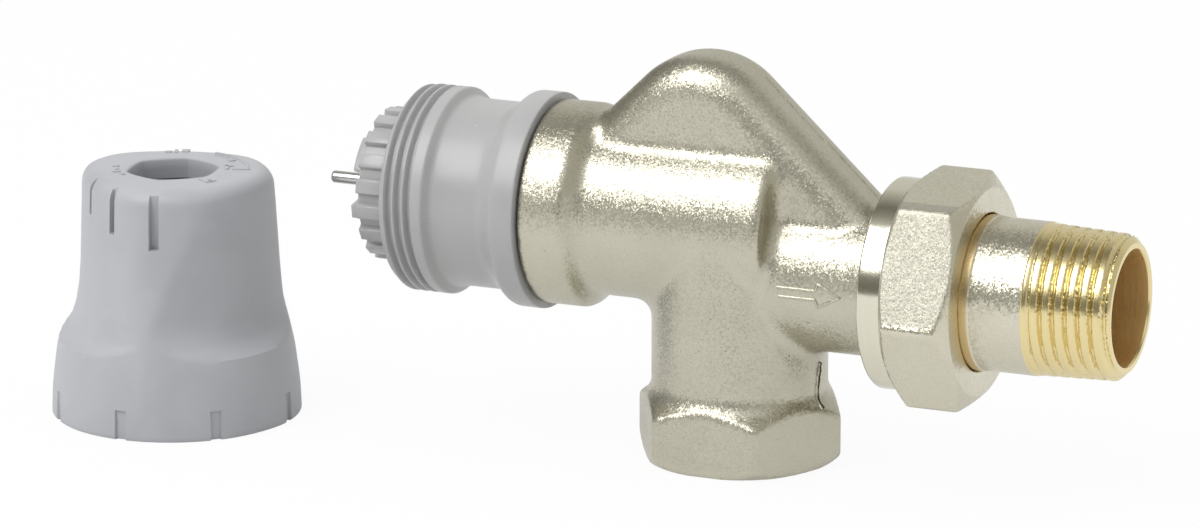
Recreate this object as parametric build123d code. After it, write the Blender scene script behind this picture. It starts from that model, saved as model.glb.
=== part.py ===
from build123d import *
import math
import os

# Axial radiator valve with presetting insert, union tail and loose protective cap.
# Millimetres. The origin is the centre of the inlet mouth, +Z up, +X towards the outlet.

# Axes and main lengths of the forging
head_axis_height = 34.5        # head barrel axis above the inlet face
outlet_axis_drop = 6.6         # of the outlet axis under the head axis
nose_front_x = -38.0           # front of the spigot under the sleeve
collar_front_x = -28.4         # collar face that the sleeve meets
collar_back_x = -21.9
barrel_end_x = 7.8
spigot_start_x = 24.3          # shoulder of the outlet thread, inside the nut
spigot_end_x = 33.0            # mouth of the outlet

# Outside radii of the forging
nose_radius = 12.0
collar_radius = 14.7
barrel_radius = 12.65
pipe_radius = 12.6
neck_radius = 10.8
spigot_radius = 13.2           # G 3/4 thread, major radius
collar_step_rounding = 1.6
barrel_end_rounding = 1.0

# Blends where the forging's parts meet
pipe_barrel_blend = 2.6
hump_barrel_blend = 2.5
neck_pipe_blend = 2.0
neck_barrel_blend = 1.2

# Inlet hexagon
inlet_hex_across_flats = 27.0
inlet_hex_corner_top = 7.5     # height of the corners' upper ends
inlet_hex_shoulder_top = 10.8  # height where the shoulder runs into the pipe
inlet_hex_foot_chamfer = 1.7
inlet_hex_foot_radius = 13.6
inlet_hex_shoulder_inset = 0.2
inlet_hex_shoulder_slope = 0.82  # rise of the shoulder for each unit inwards

# Flow hump: two straight flanks over the drilled passages
hump_apex_x = -5.15            # where the two flanks would meet
hump_foot_gap = 0.31           # from the collar to the left flank's foot on the barrel's top
hump_left_slope = 44.4         # degrees
hump_right_slope = 42.8
hump_apex_rounding = 12.4
hump_half_width = 6.75
hump_edge_rounding = 5.2

# Waterways
inlet_thread_radius = 9.3155   # Rp 1/2 minor radius
inlet_thread_depth = 14.0
inlet_bore_radius = 7.5
inlet_bore_dome_drop = 4.5     # of the centre of the upright bore's domed top under the head axis
outlet_bore_radius = 8.0
outlet_bore_start_x = 10.5
passage_radius = 4.0
passage_depth = 8.0            # of a passage's axis under its flank
passage_overlap = 2.0          # how far a passage ends below the top of the bore it meets
seat_hole_radius = 5.0
seat_hole_end_x = -1.0
seat_floor_x = -10.0
seat_face_x = -11.0
seat_lip_radius = 6.3
head_bore_radius = 9.0
insert_thread_radius = 10.0
insert_thread_end_x = -27.0
mouth_cone_small_radius = 9.3
mouth_cone_start_x = 29.6
mouth_cone_large_radius = 12.0

# Clearances
running_clearance = 0.05       # turning or sliding fits
seat_clearance = 0.1           # faces that only just part
sleeve_gap = 0.2               # dark line between sleeve and collar

# Sleeve with the head thread
sleeve_front_x = -50.0
head_thread_radius = 15.0      # M30 x 1.5
head_thread_end_x = -43.2
sleeve_waist_radius = 13.5
sleeve_flare_x = -34.4         # where the waist starts to widen
sleeve_flange_x = -32.2
sleeve_flange_radius = 15.6
sleeve_bead_x = -34.6          # snap bead in the nose groove
sleeve_bead_length = 1.2
sleeve_bead_height = 0.35

# Cartridge housing
housing_hex_across_flats = 20.0
housing_hex_length = 3.5
housing_neck_radius = 7.6
housing_neck_front_x = -49.0
housing_skirt_radius = 8.6
housing_back_x = -22.0
housing_bore_radius = 5.5
housing_groove_x = -25.6       # middle of the O-ring groove
housing_oring_section = 0.8    # radius of the section

# Preset tube and what it carries
tube_lead = 3.0                # of the tube in front of the cartridge
tube_flange_radius = 8.0
tube_flange_length = 1.5
gland_bore_radius = 4.0
gland_bore_length = 3.5
oring_pocket_radius = 2.6
oring_pocket_length = 2.3
tube_web = 1.0                 # wall between gland and spring chamber
spring_chamber_radius = 3.6
tube_groove_x = -33.0
tube_oring_section = 0.7
throttle_wall = 1.5
throttle_play = 0.15           # between throttle sleeve and bore
throttle_floor_gap = 0.3
throttle_steps = 7             # one for each setting
throttle_step_angle = 40.0
throttle_deepest_cut = 7.0

# Setting ring
ring_front_x = -55.2
ring_back_x = -50.4
ring_radius = 11.1
ring_root_radius = 10.3
ring_tooth_count = 18
ring_tooth_width = 2.0
ring_tooth_flare = 0.3         # on each side, from crest to foot
ring_tooth_root = 0.3          # how deep the teeth start in the ring
ring_web = 1.6
ring_skirt_wall = 1.4
ring_skirt_back_x = -43.0
ring_wall_radius = 9.9         # curved walls on the ring's front
ring_wall_thickness = 1.5
ring_wall_height = 1.6
ring_wall_count = 3
ring_wall_sweep = 52.0         # degrees that each wall covers
ring_wall_first = 28.0
ring_marker_angle = 100.0      # the longer marker tooth, from the top towards the front
ring_mark_reach = 1.0          # how far it stands out
ring_mark_width = 2.0
ring_mark_drop = 0.15          # of its top under the teeth's crests

# Gland
gland_head_radius = 4.7
gland_head_length = 1.5
gland_washer_thickness = 0.5

# Pin, spindle and plug
pin_radius = 0.9
pin_tip_x = -64.1
pin_back_gap = 0.3             # between tube web and pin end
stroke = 2.4
spindle_radius = 1.4
spindle_head_radius = 2.0
spindle_head_length = 1.0
clip_radius = 3.2
clip_thickness = 0.8
guide_front_x = -27.0
guide_back_x = -23.0
spring_radius = 2.7
spring_wire_radius = 0.35
spring_turns = 8
disc_radius = 6.5
disc_thickness = 2.6
carrier_rim = 0.4
carrier_floor = 1.1
carrier_boss_radius = 2.6
carrier_boss_length = 3.0
disc_proud = 1.0               # how far the disc stands out of its dish
plug_nut_across_flats = 5.0
plug_nut_thickness = 1.4
spindle_tail = 0.4             # spindle end beyond the nut

# Union nut
nut_front_x = 37.0
nut_back_x = 23.3
nut_hex_back_x = 26.7
nut_wall = 1.74                # between the thread and a flat
nut_turn = 7.9                 # degrees, as the hexagon happens to stand
nut_hole_radius = 11.2
nut_thread_clearance = 0.06
nut_chamfer = 1.7
nut_lip = 2.4                  # thickness of the inward lip

# Union tail
tail_end_x = 58.4
tail_bore_radius = 8.2
tail_collar_radius = 12.6
tail_collar_length = 1.3
tail_band_radius = 11.05
tail_band_end_x = 38.1
tail_pipe_radius = 10.83
tail_thread_start_x = 46.4
tail_thread_start_radius = 10.6
tail_thread_taper = 1 / 32     # radius lost for each unit of length
tail_end_chamfer = 0.9

# Protective cap, standing beside the valve
cap_x = -84.45
cap_y = -11.1
cap_height = 35.8
cap_foot_draft = 0.15
cap_foot_band = 4.0
cap_knee_z = 10.0
cap_knee_inset = 0.9           # insets are taken from the foot radius
cap_shoulder_z = 17.0
cap_shoulder_inset = 2.5
cap_rim_inset = 3.75
cap_rim_rounding = 2.6
cap_thread_radius = 14.2       # M30 x 1.5, minor radius
cap_thread_wall = 4.05
cap_thread_depth = 9.5
cap_ring_room_step = 2.2       # inwards from the thread
cap_ring_room_top = 17.0
cap_room_step = 1.6            # inwards from the ring room
cap_top_thickness = 3.0
cap_hole_step = 3.1            # of the hexagon's corners inwards from the room
cap_hole_turn = 24.0
cap_hole_rounding = 1.2
cap_scoop_count = 3
cap_scoop_first = -12.0        # direction of the first scoop, degrees
cap_scoop_offset = 11.0
cap_scoop_floor_z = 10.2
cap_scoop_floor_inset = 0.95
cap_scoop_bend_z = 13.0
cap_scoop_bend_inset = 3.35
cap_scoop_flare_z = 18.0
cap_scoop_flare_inset = 4.95
cap_scoop_top_inset = 5.8
cap_slot_angles = (-126.0, -101.0, -75.5)
cap_slot_lengths = (5.0, 6.8, 8.4)
cap_slot_drop = 0.2            # of a slot's upper end under the top
cap_slot_width = 1.0
cap_slot_depth = 0.8
cap_notch_count = 8
cap_notch_first = 0.4
cap_notch_width = 1.6
cap_notch_height = 4.3
cap_notch_depth = 0.5

# Derived places
hex_root = math.cos(math.radians(30))
outlet_axis_height = head_axis_height - outlet_axis_drop
hump_foot_x = collar_back_x + hump_foot_gap
hump_rise = (hump_apex_x - hump_foot_x) * math.tan(math.radians(hump_left_slope))
hump_apex_z = head_axis_height + barrel_radius + hump_rise
inlet_bore_dome_z = head_axis_height - inlet_bore_dome_drop
cap_foot_radius = cap_thread_radius + cap_thread_wall
cap_ring_room_radius = cap_thread_radius - cap_ring_room_step
cap_room_radius = cap_ring_room_radius - cap_room_step
cap_hole_corner_radius = cap_room_radius - cap_hole_step
tube_front_x = housing_neck_front_x - tube_lead
gland_bore_end_x = tube_front_x + gland_bore_length
oring_pocket_end_x = gland_bore_end_x + oring_pocket_length
chamber_front_x = oring_pocket_end_x + tube_web
pin_back_x = chamber_front_x + pin_back_gap
tube_radius = housing_bore_radius - running_clearance
tube_back_x = housing_back_x + seat_clearance + tube_flange_length
throttle_radius = head_bore_radius - throttle_play
plug_face_x = seat_face_x - stroke - seat_clearance
spindle_end_x = plug_face_x + plug_nut_thickness + spindle_tail
nut_bore_radius = spigot_radius + nut_thread_clearance
nut_across_flats = 2 * (nut_bore_radius + nut_wall)
nut_collar_radius = nut_across_flats / 2
nut_lip_x = nut_front_x - nut_lip


def outline(*corners):
    """Closed outline of (across, up) or (across, up, rounding) corners, as a face."""
    points = [corner[:2] for corner in corners]
    radii = [corner[2] if len(corner) > 2 else 0 for corner in corners]
    return make_face(FilletPolyline(*points, radius=radii, close=True))


def turned(axis_height, *corners):
    """Solid turned about a level axis; each corner is (x, radius) or (x, radius, rounding)."""
    raised = [(corner[0], axis_height + corner[1], *corner[2:]) for corner in corners]
    axis = Axis((0, 0, axis_height), (1, 0, 0))
    return revolve(Plane.XZ * outline(*raised), axis)


def upright_turned(*corners):
    """Solid turned about the Z axis; each corner is (radius, z) or (radius, z, rounding)."""
    return revolve(Plane.XZ * outline(*corners), Axis.Z)


def level_rod(x0, x1, radius, axis_height):
    """Plain rod along X."""
    return Pos(x0, 0, axis_height) * extrude(Plane.YZ * Circle(radius), x1 - x0)


def level_tube(x0, x1, outer, inner, axis_height):
    """Plain tube along X."""
    return level_rod(x0, x1, outer, axis_height) - level_rod(x0, x1, inner, axis_height)


def level_hexagon(x0, x1, across_flats, axis_height):
    """Hexagonal bar along X."""
    corner_radius = across_flats / 2 / hex_root
    return Pos(x0, 0, axis_height) * extrude(Plane.YZ * RegularPolygon(corner_radius, 6), x1 - x0)


def level_ring(x, middle_radius, section_radius, axis_height):
    """O-ring round an axis along X."""
    return Pos(x, 0, axis_height) * Rot(0, 90, 0) * Torus(middle_radius, section_radius)


def hexagon_foot():
    """Inlet hexagon with its turned foot and its shoulder running into the pipe."""
    corner_radius = inlet_hex_across_flats / 2 / hex_root
    prism = extrude(RegularPolygon(corner_radius, 6), inlet_hex_shoulder_top)
    shoulder_radius = inlet_hex_across_flats / 2 - inlet_hex_shoulder_inset
    shoulder_z = inlet_hex_corner_top + (corner_radius - shoulder_radius) * inlet_hex_shoulder_slope
    envelope = upright_turned(
        (0, 0),
        (inlet_hex_foot_radius, 0, 0.3),
        (corner_radius + 0.1, inlet_hex_foot_chamfer, 1.0),
        (corner_radius + 0.1, inlet_hex_corner_top, 0.8),
        (shoulder_radius, shoulder_z, 0.8),
        (pipe_radius, inlet_hex_shoulder_top),
        (0, inlet_hex_shoulder_top),
    )
    return prism & envelope


def inlet_pipe():
    """Upright pipe; past the barrel's end it reaches only the outlet axis."""
    lower = extrude(Circle(pipe_radius), outlet_axis_height)
    rise = head_axis_height - outlet_axis_height
    upper = extrude(Pos(0, 0, outlet_axis_height) * Circle(pipe_radius), rise)
    beyond = Pos(barrel_end_x + pipe_radius, 0, head_axis_height) * Box(
        2 * pipe_radius, 2 * pipe_radius, 2 * head_axis_height
    )
    return lower + (upper - beyond)


def flank_point(x, slope_sign):
    """Height of a flank at x: the left one rises with x, the right one falls."""
    slope = hump_left_slope if slope_sign > 0 else hump_right_slope
    return hump_apex_z + slope_sign * (x - hump_apex_x) * math.tan(math.radians(slope))


def hump():
    """Flow hump with rounded ridge edges."""
    side = outline(
        (collar_back_x, outlet_axis_height),
        (collar_back_x, flank_point(collar_back_x, 1)),
        (hump_apex_x, hump_apex_z, hump_apex_rounding),
        (spigot_start_x, flank_point(spigot_start_x, -1)),
        (spigot_start_x, outlet_axis_height),
    )
    block = extrude(Plane.XZ * side, hump_half_width, both=True)
    base_z = outlet_axis_height
    ridge = [
        edge
        for edge in block.edges()
        if edge.bounding_box().min.Z > base_z + 1
        and edge.bounding_box().size.Y < 0.01
        and edge.bounding_box().size.X > 0.01
    ]
    return fillet(ridge, hump_edge_rounding)


def drilled_passage(slope_sign, bore_top):
    """Slanting drilling under one flank, from the meeting point down into the bore it feeds."""
    slope = math.radians(hump_left_slope if slope_sign > 0 else hump_right_slope)
    half_corner = (math.pi - math.radians(hump_left_slope + hump_right_slope)) / 2
    drop = passage_depth / math.sin(half_corner)
    meeting = Vector(hump_apex_x, 0, hump_apex_z - drop)
    reach = (meeting.Z - bore_top + passage_overlap) / math.sin(slope)
    direction = Vector(-slope_sign * math.cos(slope), 0, -math.sin(slope))
    bore = extrude(Plane(meeting, z_dir=direction) * Circle(passage_radius), reach)
    return bore + Pos(*meeting) * Sphere(passage_radius)


def waterways():
    """Everything that is bored out of the forging."""
    thread = extrude(Circle(inlet_thread_radius), inlet_thread_depth)
    upright = extrude(Circle(inlet_bore_radius), inlet_bore_dome_z)
    dome = Pos(0, 0, inlet_bore_dome_z) * Sphere(inlet_bore_radius)
    seat_hole = level_rod(seat_face_x - 1, seat_hole_end_x, seat_hole_radius, head_axis_height)
    head_bore = level_rod(nose_front_x, seat_floor_x, head_bore_radius, head_axis_height)
    head_bore -= level_tube(seat_face_x, seat_floor_x, seat_lip_radius, seat_hole_radius, head_axis_height)
    insert_bore = level_rod(nose_front_x, insert_thread_end_x, insert_thread_radius, head_axis_height)
    outlet = turned(
        outlet_axis_height,
        (outlet_bore_start_x, 0),
        (outlet_bore_start_x, outlet_bore_radius, 1.5),
        (mouth_cone_start_x, outlet_bore_radius),
        (mouth_cone_start_x, mouth_cone_small_radius),
        (spigot_end_x, mouth_cone_large_radius),
        (spigot_end_x, 0),
    )
    left = drilled_passage(1, head_axis_height + head_bore_radius)
    right = drilled_passage(-1, outlet_axis_height + outlet_bore_radius)
    return [thread, upright, dome, seat_hole, head_bore, insert_bore, outlet, left, right]


def rounded_where(body, radius, picked):
    """The body with its picked edges rounded; picked looks at an edge's box, middle and length."""
    edges = [edge for edge in body.edges() if picked(edge.bounding_box(), edge @ 0.5, edge.length)]
    return fillet(edges, radius) if edges else body


def blended(body):
    """The forging with rounded meeting lines, as metal flows in the die."""
    barrel_floor = head_axis_height - barrel_radius
    hump_seam = head_axis_height + math.sqrt(barrel_radius**2 - hump_half_width**2)
    neck_floor = outlet_axis_height - neck_radius
    neck_seam = outlet_axis_height + math.sqrt(neck_radius**2 - hump_half_width**2)

    def pipe_under_barrel(box, middle, length):
        below = barrel_floor - 0.5 < box.min.Z and box.max.Z < head_axis_height + 0.3
        return below and box.min.X < 0.5 - pipe_radius and box.max.X < barrel_end_x and length > pipe_radius

    def hump_over_barrel(box, middle, length):
        on_side = abs(abs(middle.Y) - hump_half_width) < 0.02
        return on_side and abs(middle.Z - hump_seam) < 0.4 and length > barrel_end_x

    def neck_on_pipe(box, middle, length):
        level = neck_floor - 0.5 < box.min.Z and box.max.Z < outlet_axis_height + 1.5
        beside = pipe_radius / 3 < box.min.X and box.max.X < pipe_radius + 1.5
        return level and beside and length > neck_radius / 2

    def neck_at_barrel_end(box, middle, length):
        in_plane = abs(middle.X - barrel_end_x) < 0.05 and box.size.X < 0.05
        return in_plane and neck_floor < middle.Z and box.max.Z < neck_seam + 1 and length > neck_radius / 3

    body = rounded_where(body, pipe_barrel_blend, pipe_under_barrel)
    body = rounded_where(body, hump_barrel_blend, hump_over_barrel)
    body = rounded_where(body, neck_pipe_blend, neck_on_pipe)
    return rounded_where(body, neck_barrel_blend, neck_at_barrel_end)


def valve_body():
    """The forging with its bores."""
    barrel = turned(
        head_axis_height,
        (nose_front_x, 0),
        (nose_front_x, nose_radius, 0.3),
        (collar_front_x, nose_radius),
        (collar_front_x, collar_radius, 0.3),
        (collar_back_x, collar_radius, 1.2),
        (collar_back_x + collar_radius - barrel_radius, barrel_radius, collar_step_rounding),
        (barrel_end_x, barrel_radius, barrel_end_rounding),
        (barrel_end_x, 0),
    )
    neck = turned(
        outlet_axis_height,
        (0, 0),
        (0, neck_radius),
        (spigot_start_x, neck_radius),
        (spigot_start_x, spigot_radius, 0.4),
        (spigot_end_x, spigot_radius, 0.4),
        (spigot_end_x, 0),
    )
    groove = level_tube(
        sleeve_bead_x - running_clearance,
        sleeve_bead_x + sleeve_bead_length + running_clearance,
        nose_radius + 1,
        nose_radius - sleeve_bead_height,
        head_axis_height,
    )
    body = blended(barrel + neck + inlet_pipe() + hexagon_foot() + hump())
    for hollow in waterways():
        body -= hollow
    return body - groove


def head_sleeve():
    """Grey sleeve: head thread, waist, flared flange, snap bead."""
    bore = nose_radius + running_clearance
    back_x = collar_front_x - sleeve_gap
    bead_front = sleeve_bead_x
    bead_back = sleeve_bead_x + sleeve_bead_length
    return turned(
        head_axis_height,
        (sleeve_front_x, bore),
        (sleeve_front_x, head_thread_radius - 0.7),
        (sleeve_front_x + 0.7, head_thread_radius),
        (head_thread_end_x, head_thread_radius, 0.5),
        (head_thread_end_x + 0.6, sleeve_waist_radius, 0.5),
        (sleeve_flare_x, sleeve_waist_radius, 2.0),
        (sleeve_flange_x, sleeve_flange_radius, 1.0),
        (back_x, sleeve_flange_radius, 0.3),
        (back_x, bore),
        (bead_back, bore),
        (bead_back, bore - sleeve_bead_height),
        (bead_front, bore - sleeve_bead_height),
        (bead_front, bore),
    )


def insert_housing():
    """Brass cartridge: hexagon on the nose, threaded shank, grooved skirt."""
    hex_front_x = nose_front_x - housing_hex_length
    groove_half = housing_oring_section + running_clearance
    groove_floor = head_bore_radius - 2 * housing_oring_section
    shank = turned(
        head_axis_height,
        (housing_neck_front_x, housing_bore_radius),
        (housing_neck_front_x, housing_neck_radius, 0.4),
        (nose_front_x, housing_neck_radius),
        (nose_front_x, insert_thread_radius - running_clearance),
        (insert_thread_end_x - 1, insert_thread_radius - running_clearance, 0.4),
        (insert_thread_end_x - 1, housing_skirt_radius),
        (housing_groove_x - groove_half, housing_skirt_radius),
        (housing_groove_x - groove_half, groove_floor),
        (housing_groove_x + groove_half, groove_floor),
        (housing_groove_x + groove_half, housing_skirt_radius),
        (housing_back_x, housing_skirt_radius, 0.3),
        (housing_back_x, housing_bore_radius),
    )
    hexagon = level_hexagon(hex_front_x, nose_front_x, housing_hex_across_flats, head_axis_height)
    hexagon -= level_rod(hex_front_x, nose_front_x, housing_neck_radius - 0.5, head_axis_height)
    return shank + hexagon


def housing_oring():
    """Seal between cartridge and barrel."""
    middle = head_bore_radius - housing_oring_section
    return level_ring(housing_groove_x, middle, housing_oring_section - 0.02, head_axis_height)


def preset_tube():
    """Tube that the setting ring turns; gland in front, spring inside, flange behind."""
    groove_half = tube_oring_section + running_clearance
    groove_floor = housing_bore_radius - 2 * tube_oring_section
    return turned(
        head_axis_height,
        (tube_front_x, gland_bore_radius),
        (tube_front_x, tube_radius, 0.3),
        (tube_groove_x - groove_half, tube_radius),
        (tube_groove_x - groove_half, groove_floor),
        (tube_groove_x + groove_half, groove_floor),
        (tube_groove_x + groove_half, tube_radius),
        (housing_back_x + seat_clearance, tube_radius),
        (housing_back_x + seat_clearance, tube_flange_radius),
        (tube_back_x, tube_flange_radius),
        (tube_back_x, spring_chamber_radius),
        (chamber_front_x, spring_chamber_radius),
        (chamber_front_x, pin_radius + seat_clearance),
        (oring_pocket_end_x, pin_radius + seat_clearance),
        (oring_pocket_end_x, oring_pocket_radius),
        (gland_bore_end_x, oring_pocket_radius),
        (gland_bore_end_x, gland_bore_radius),
    )


def tube_oring():
    """Seal between preset tube and cartridge."""
    middle = housing_bore_radius - tube_oring_section
    return level_ring(tube_groove_x, middle, tube_oring_section - 0.02, head_axis_height)


def throttle_sleeve():
    """Sleeve round the plug; its end is cut away in one step for each setting."""
    back_x = seat_floor_x - throttle_floor_gap
    inner = throttle_radius - throttle_wall
    sleeve = level_tube(tube_back_x, back_x, throttle_radius, inner, head_axis_height)
    collar = level_tube(
        tube_back_x - tube_flange_length,
        tube_back_x,
        throttle_radius,
        tube_flange_radius + running_clearance,
        head_axis_height,
    )
    sleeve += collar
    for step in range(throttle_steps):
        depth = throttle_deepest_cut * (step + 1) / throttle_steps
        sector = wedge(throttle_step_angle, 1.5 * throttle_radius, depth)
        sleeve -= Pos(back_x - depth, 0, head_axis_height) * Rot(step * throttle_step_angle, 0, 0) * sector
    return sleeve


def preset_ring():
    """Serrated setting ring with front walls, marker tooth and skirt over the cartridge neck."""
    skirt_inner = housing_neck_radius + running_clearance
    ring = turned(
        head_axis_height,
        (ring_front_x, tube_radius),
        (ring_front_x, ring_root_radius, 0.3),
        (ring_back_x, ring_root_radius, 0.2),
        (ring_back_x, skirt_inner + ring_skirt_wall),
        (ring_skirt_back_x, skirt_inner + ring_skirt_wall),
        (ring_skirt_back_x, skirt_inner),
        (housing_neck_front_x - seat_clearance, skirt_inner),
        (housing_neck_front_x - seat_clearance, tube_radius),
    )
    half_foot = ring_tooth_width / 2 + ring_tooth_flare
    half_crest = ring_tooth_width / 2
    foot = ring_root_radius - ring_tooth_root
    profile = Polyline(
        (-half_foot, foot),
        (half_foot, foot),
        (half_crest, ring_radius),
        (-half_crest, ring_radius),
        close=True,
    )
    tooth = extrude(Plane.YZ * make_face(profile), ring_back_x - ring_front_x)
    for index in range(ring_tooth_count):
        place = Pos(ring_front_x, 0, head_axis_height) * Rot(index * 360 / ring_tooth_count, 0, 0)
        ring += place * tooth
    marker = Pos(ring_front_x - ring_mark_reach, 0, head_axis_height) * Rot(ring_marker_angle, 0, 0) * Box(
        ring_mark_reach + ring_web,
        ring_mark_width,
        ring_radius - ring_mark_drop,
        align=(Align.MIN, Align.CENTER, Align.MIN),
    )
    marker_start = ring_front_x - ring_mark_reach
    marker -= level_rod(marker_start, ring_front_x + ring_web, ring_wall_radius - 1, head_axis_height)
    return ring + marker + ring_walls()


def ring_walls():
    """Curved walls that stand on the front of the setting ring."""
    front_x = ring_front_x - ring_wall_height
    inner = ring_wall_radius - ring_wall_thickness
    wall = level_tube(front_x, ring_front_x + ring_web / 2, ring_wall_radius, inner, head_axis_height)
    keep = wedge(ring_wall_sweep, 2 * ring_wall_radius, ring_wall_height + ring_web)
    walls = Part()
    for index in range(ring_wall_count):
        turn = ring_wall_first + ring_wall_sweep / 2 + index * 360 / ring_wall_count
        walls += wall & (Pos(front_x, 0, head_axis_height) * Rot(turn, 0, 0) * keep)
    return walls


def wedge(sweep_angle, reach, length):
    """Sector standing on the YZ plane, its middle along +Z."""
    half = math.radians(sweep_angle / 2)
    sector = Polyline(
        (0, 0),
        (-reach * math.sin(half), reach * math.cos(half)),
        (reach * math.sin(half), reach * math.cos(half)),
        close=True,
    )
    return extrude(Plane.YZ * make_face(sector), length)


def gland_nut():
    """Brass gland with a slotted round head."""
    head_back_x = tube_front_x - seat_clearance
    head_front_x = head_back_x - gland_head_length
    gland = turned(
        head_axis_height,
        (head_front_x, pin_radius + seat_clearance),
        (head_front_x, gland_head_radius, 0.4),
        (head_back_x, gland_head_radius),
        (head_back_x, gland_bore_radius - running_clearance),
        (gland_bore_end_x - seat_clearance, gland_bore_radius - running_clearance),
        (gland_bore_end_x - seat_clearance, pin_radius + seat_clearance),
    )
    slot = Pos(head_front_x, 0, head_axis_height) * Box(
        0.7, 1.0, 3 * gland_head_radius, align=(Align.MIN, Align.CENTER, Align.CENTER)
    )
    return gland - slot


def gland_oring():
    """Seal round the pin."""
    section = (oring_pocket_radius - pin_radius) / 2 - running_clearance
    washer_front_x = oring_pocket_end_x - gland_washer_thickness
    middle_x = (gland_bore_end_x - seat_clearance + washer_front_x) / 2
    return level_ring(middle_x, (oring_pocket_radius + pin_radius) / 2, section, head_axis_height)


def gland_washer():
    """Washer that backs the pin seal."""
    return level_tube(
        oring_pocket_end_x - gland_washer_thickness,
        oring_pocket_end_x,
        oring_pocket_radius - running_clearance,
        pin_radius + seat_clearance,
        head_axis_height,
    )


def spring_guide():
    """Bush that guides the spindle and holds the fixed end of the spring."""
    return level_tube(
        guide_front_x,
        guide_back_x,
        spring_chamber_radius,
        spindle_radius + running_clearance,
        head_axis_height,
    )


def return_spring():
    """Coil from the spindle clip to the guide."""
    start_x = pin_back_x + spindle_head_length + clip_thickness + spring_wire_radius
    end_x = guide_front_x - spring_wire_radius
    pitch = (end_x - start_x) / spring_turns
    path = Helix(pitch, end_x - start_x, spring_radius)
    section = Plane(path @ 0, z_dir=path % 0) * Circle(spring_wire_radius)
    coil = sweep(section, path=path, is_frenet=True)
    return Pos(start_x, 0, head_axis_height) * Rot(0, 90, 0) * coil


def stem_pin():
    """Thin pin with a domed tip."""
    return turned(
        head_axis_height,
        (pin_tip_x, 0),
        (pin_tip_x, pin_radius, pin_radius * 0.7),
        (pin_back_x, pin_radius, 0.1),
        (pin_back_x, 0),
    )


def spindle():
    """Headed rod from the pin to the plug."""
    return turned(
        head_axis_height,
        (pin_back_x, 0),
        (pin_back_x, spindle_head_radius, 0.2),
        (pin_back_x + spindle_head_length, spindle_head_radius),
        (pin_back_x + spindle_head_length, spindle_radius),
        (spindle_end_x, spindle_radius, 0.2),
        (spindle_end_x, 0),
    )


def spindle_clip():
    """Ring behind the spindle head that the spring pushes on."""
    front_x = pin_back_x + spindle_head_length
    return level_tube(front_x, front_x + clip_thickness, clip_radius, spindle_radius, head_axis_height)


def plug_carrier():
    """Brass dish that holds the sealing disc."""
    dish_back_x = plug_face_x - disc_proud
    disc_front_x = plug_face_x - disc_thickness
    dish_front_x = disc_front_x - carrier_floor
    rim_radius = disc_radius + carrier_rim
    return turned(
        head_axis_height,
        (dish_front_x - carrier_boss_length, spindle_radius),
        (dish_front_x - carrier_boss_length, carrier_boss_radius, 0.3),
        (dish_front_x, carrier_boss_radius),
        (dish_front_x, rim_radius, 0.3),
        (dish_back_x, rim_radius),
        (dish_back_x, disc_radius),
        (disc_front_x, disc_radius),
        (disc_front_x, spindle_radius),
    )


def plug_disc():
    """Rubber sealing disc."""
    front_x = plug_face_x - disc_thickness
    return level_tube(front_x, plug_face_x, disc_radius, spindle_radius, head_axis_height)


def plug_nut():
    """Small nut that holds the disc."""
    back_x = plug_face_x + plug_nut_thickness
    nut = level_hexagon(plug_face_x, back_x, plug_nut_across_flats, head_axis_height)
    return nut - level_rod(plug_face_x, back_x, spindle_radius, head_axis_height)


def union_nut():
    """Union nut: turned collar, chamfered hexagon, inward lip."""
    corner_radius = nut_across_flats / 2 / hex_root
    corner_rise = corner_radius - nut_collar_radius
    envelope = turned(
        outlet_axis_height,
        (nut_back_x, nut_bore_radius),
        (nut_back_x, nut_collar_radius, 0.3),
        (nut_hex_back_x, nut_collar_radius),
        (nut_hex_back_x + corner_rise * 0.5, corner_radius + 0.1),
        (nut_front_x - nut_chamfer, corner_radius + 0.1, 0.5),
        (nut_front_x, nut_collar_radius - 0.2),
        (nut_front_x, nut_hole_radius, 0.3),
        (nut_lip_x, nut_hole_radius),
        (nut_lip_x, nut_bore_radius),
    )
    prism = level_hexagon(nut_back_x, nut_front_x, nut_across_flats, outlet_axis_height)
    prism = Pos(0, 0, outlet_axis_height) * Rot(nut_turn, 0, 0) * Pos(0, 0, -outlet_axis_height) * prism
    return envelope & prism


def tailpiece():
    """Union tail: cone, collar, bare band, plated pipe, taper thread envelope."""
    cone_slope = (mouth_cone_large_radius - mouth_cone_small_radius) / (spigot_end_x - mouth_cone_start_x)
    cone_front_x = mouth_cone_start_x + seat_clearance
    cone_small = mouth_cone_small_radius - seat_clearance
    collar_back = nut_lip_x - seat_clearance
    collar_front = collar_back - tail_collar_length
    cone_large = cone_small + cone_slope * (collar_front - cone_front_x)
    thread_end_x = tail_end_x - tail_end_chamfer
    thread_end_radius = tail_thread_start_radius - tail_thread_taper * (thread_end_x - tail_thread_start_x)
    return turned(
        outlet_axis_height,
        (cone_front_x, tail_bore_radius),
        (cone_front_x, cone_small, 0.3),
        (collar_front, cone_large),
        (collar_front, tail_collar_radius, 0.3),
        (collar_back, tail_collar_radius, 0.3),
        (collar_back, tail_band_radius),
        (tail_band_end_x, tail_band_radius, 0.15),
        (tail_band_end_x, tail_pipe_radius),
        (tail_thread_start_x - 0.2, tail_pipe_radius),
        (tail_thread_start_x, tail_thread_start_radius),
        (thread_end_x, thread_end_radius),
        (tail_end_x, thread_end_radius - tail_end_chamfer),
        (tail_end_x, tail_bore_radius),
    )


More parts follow.
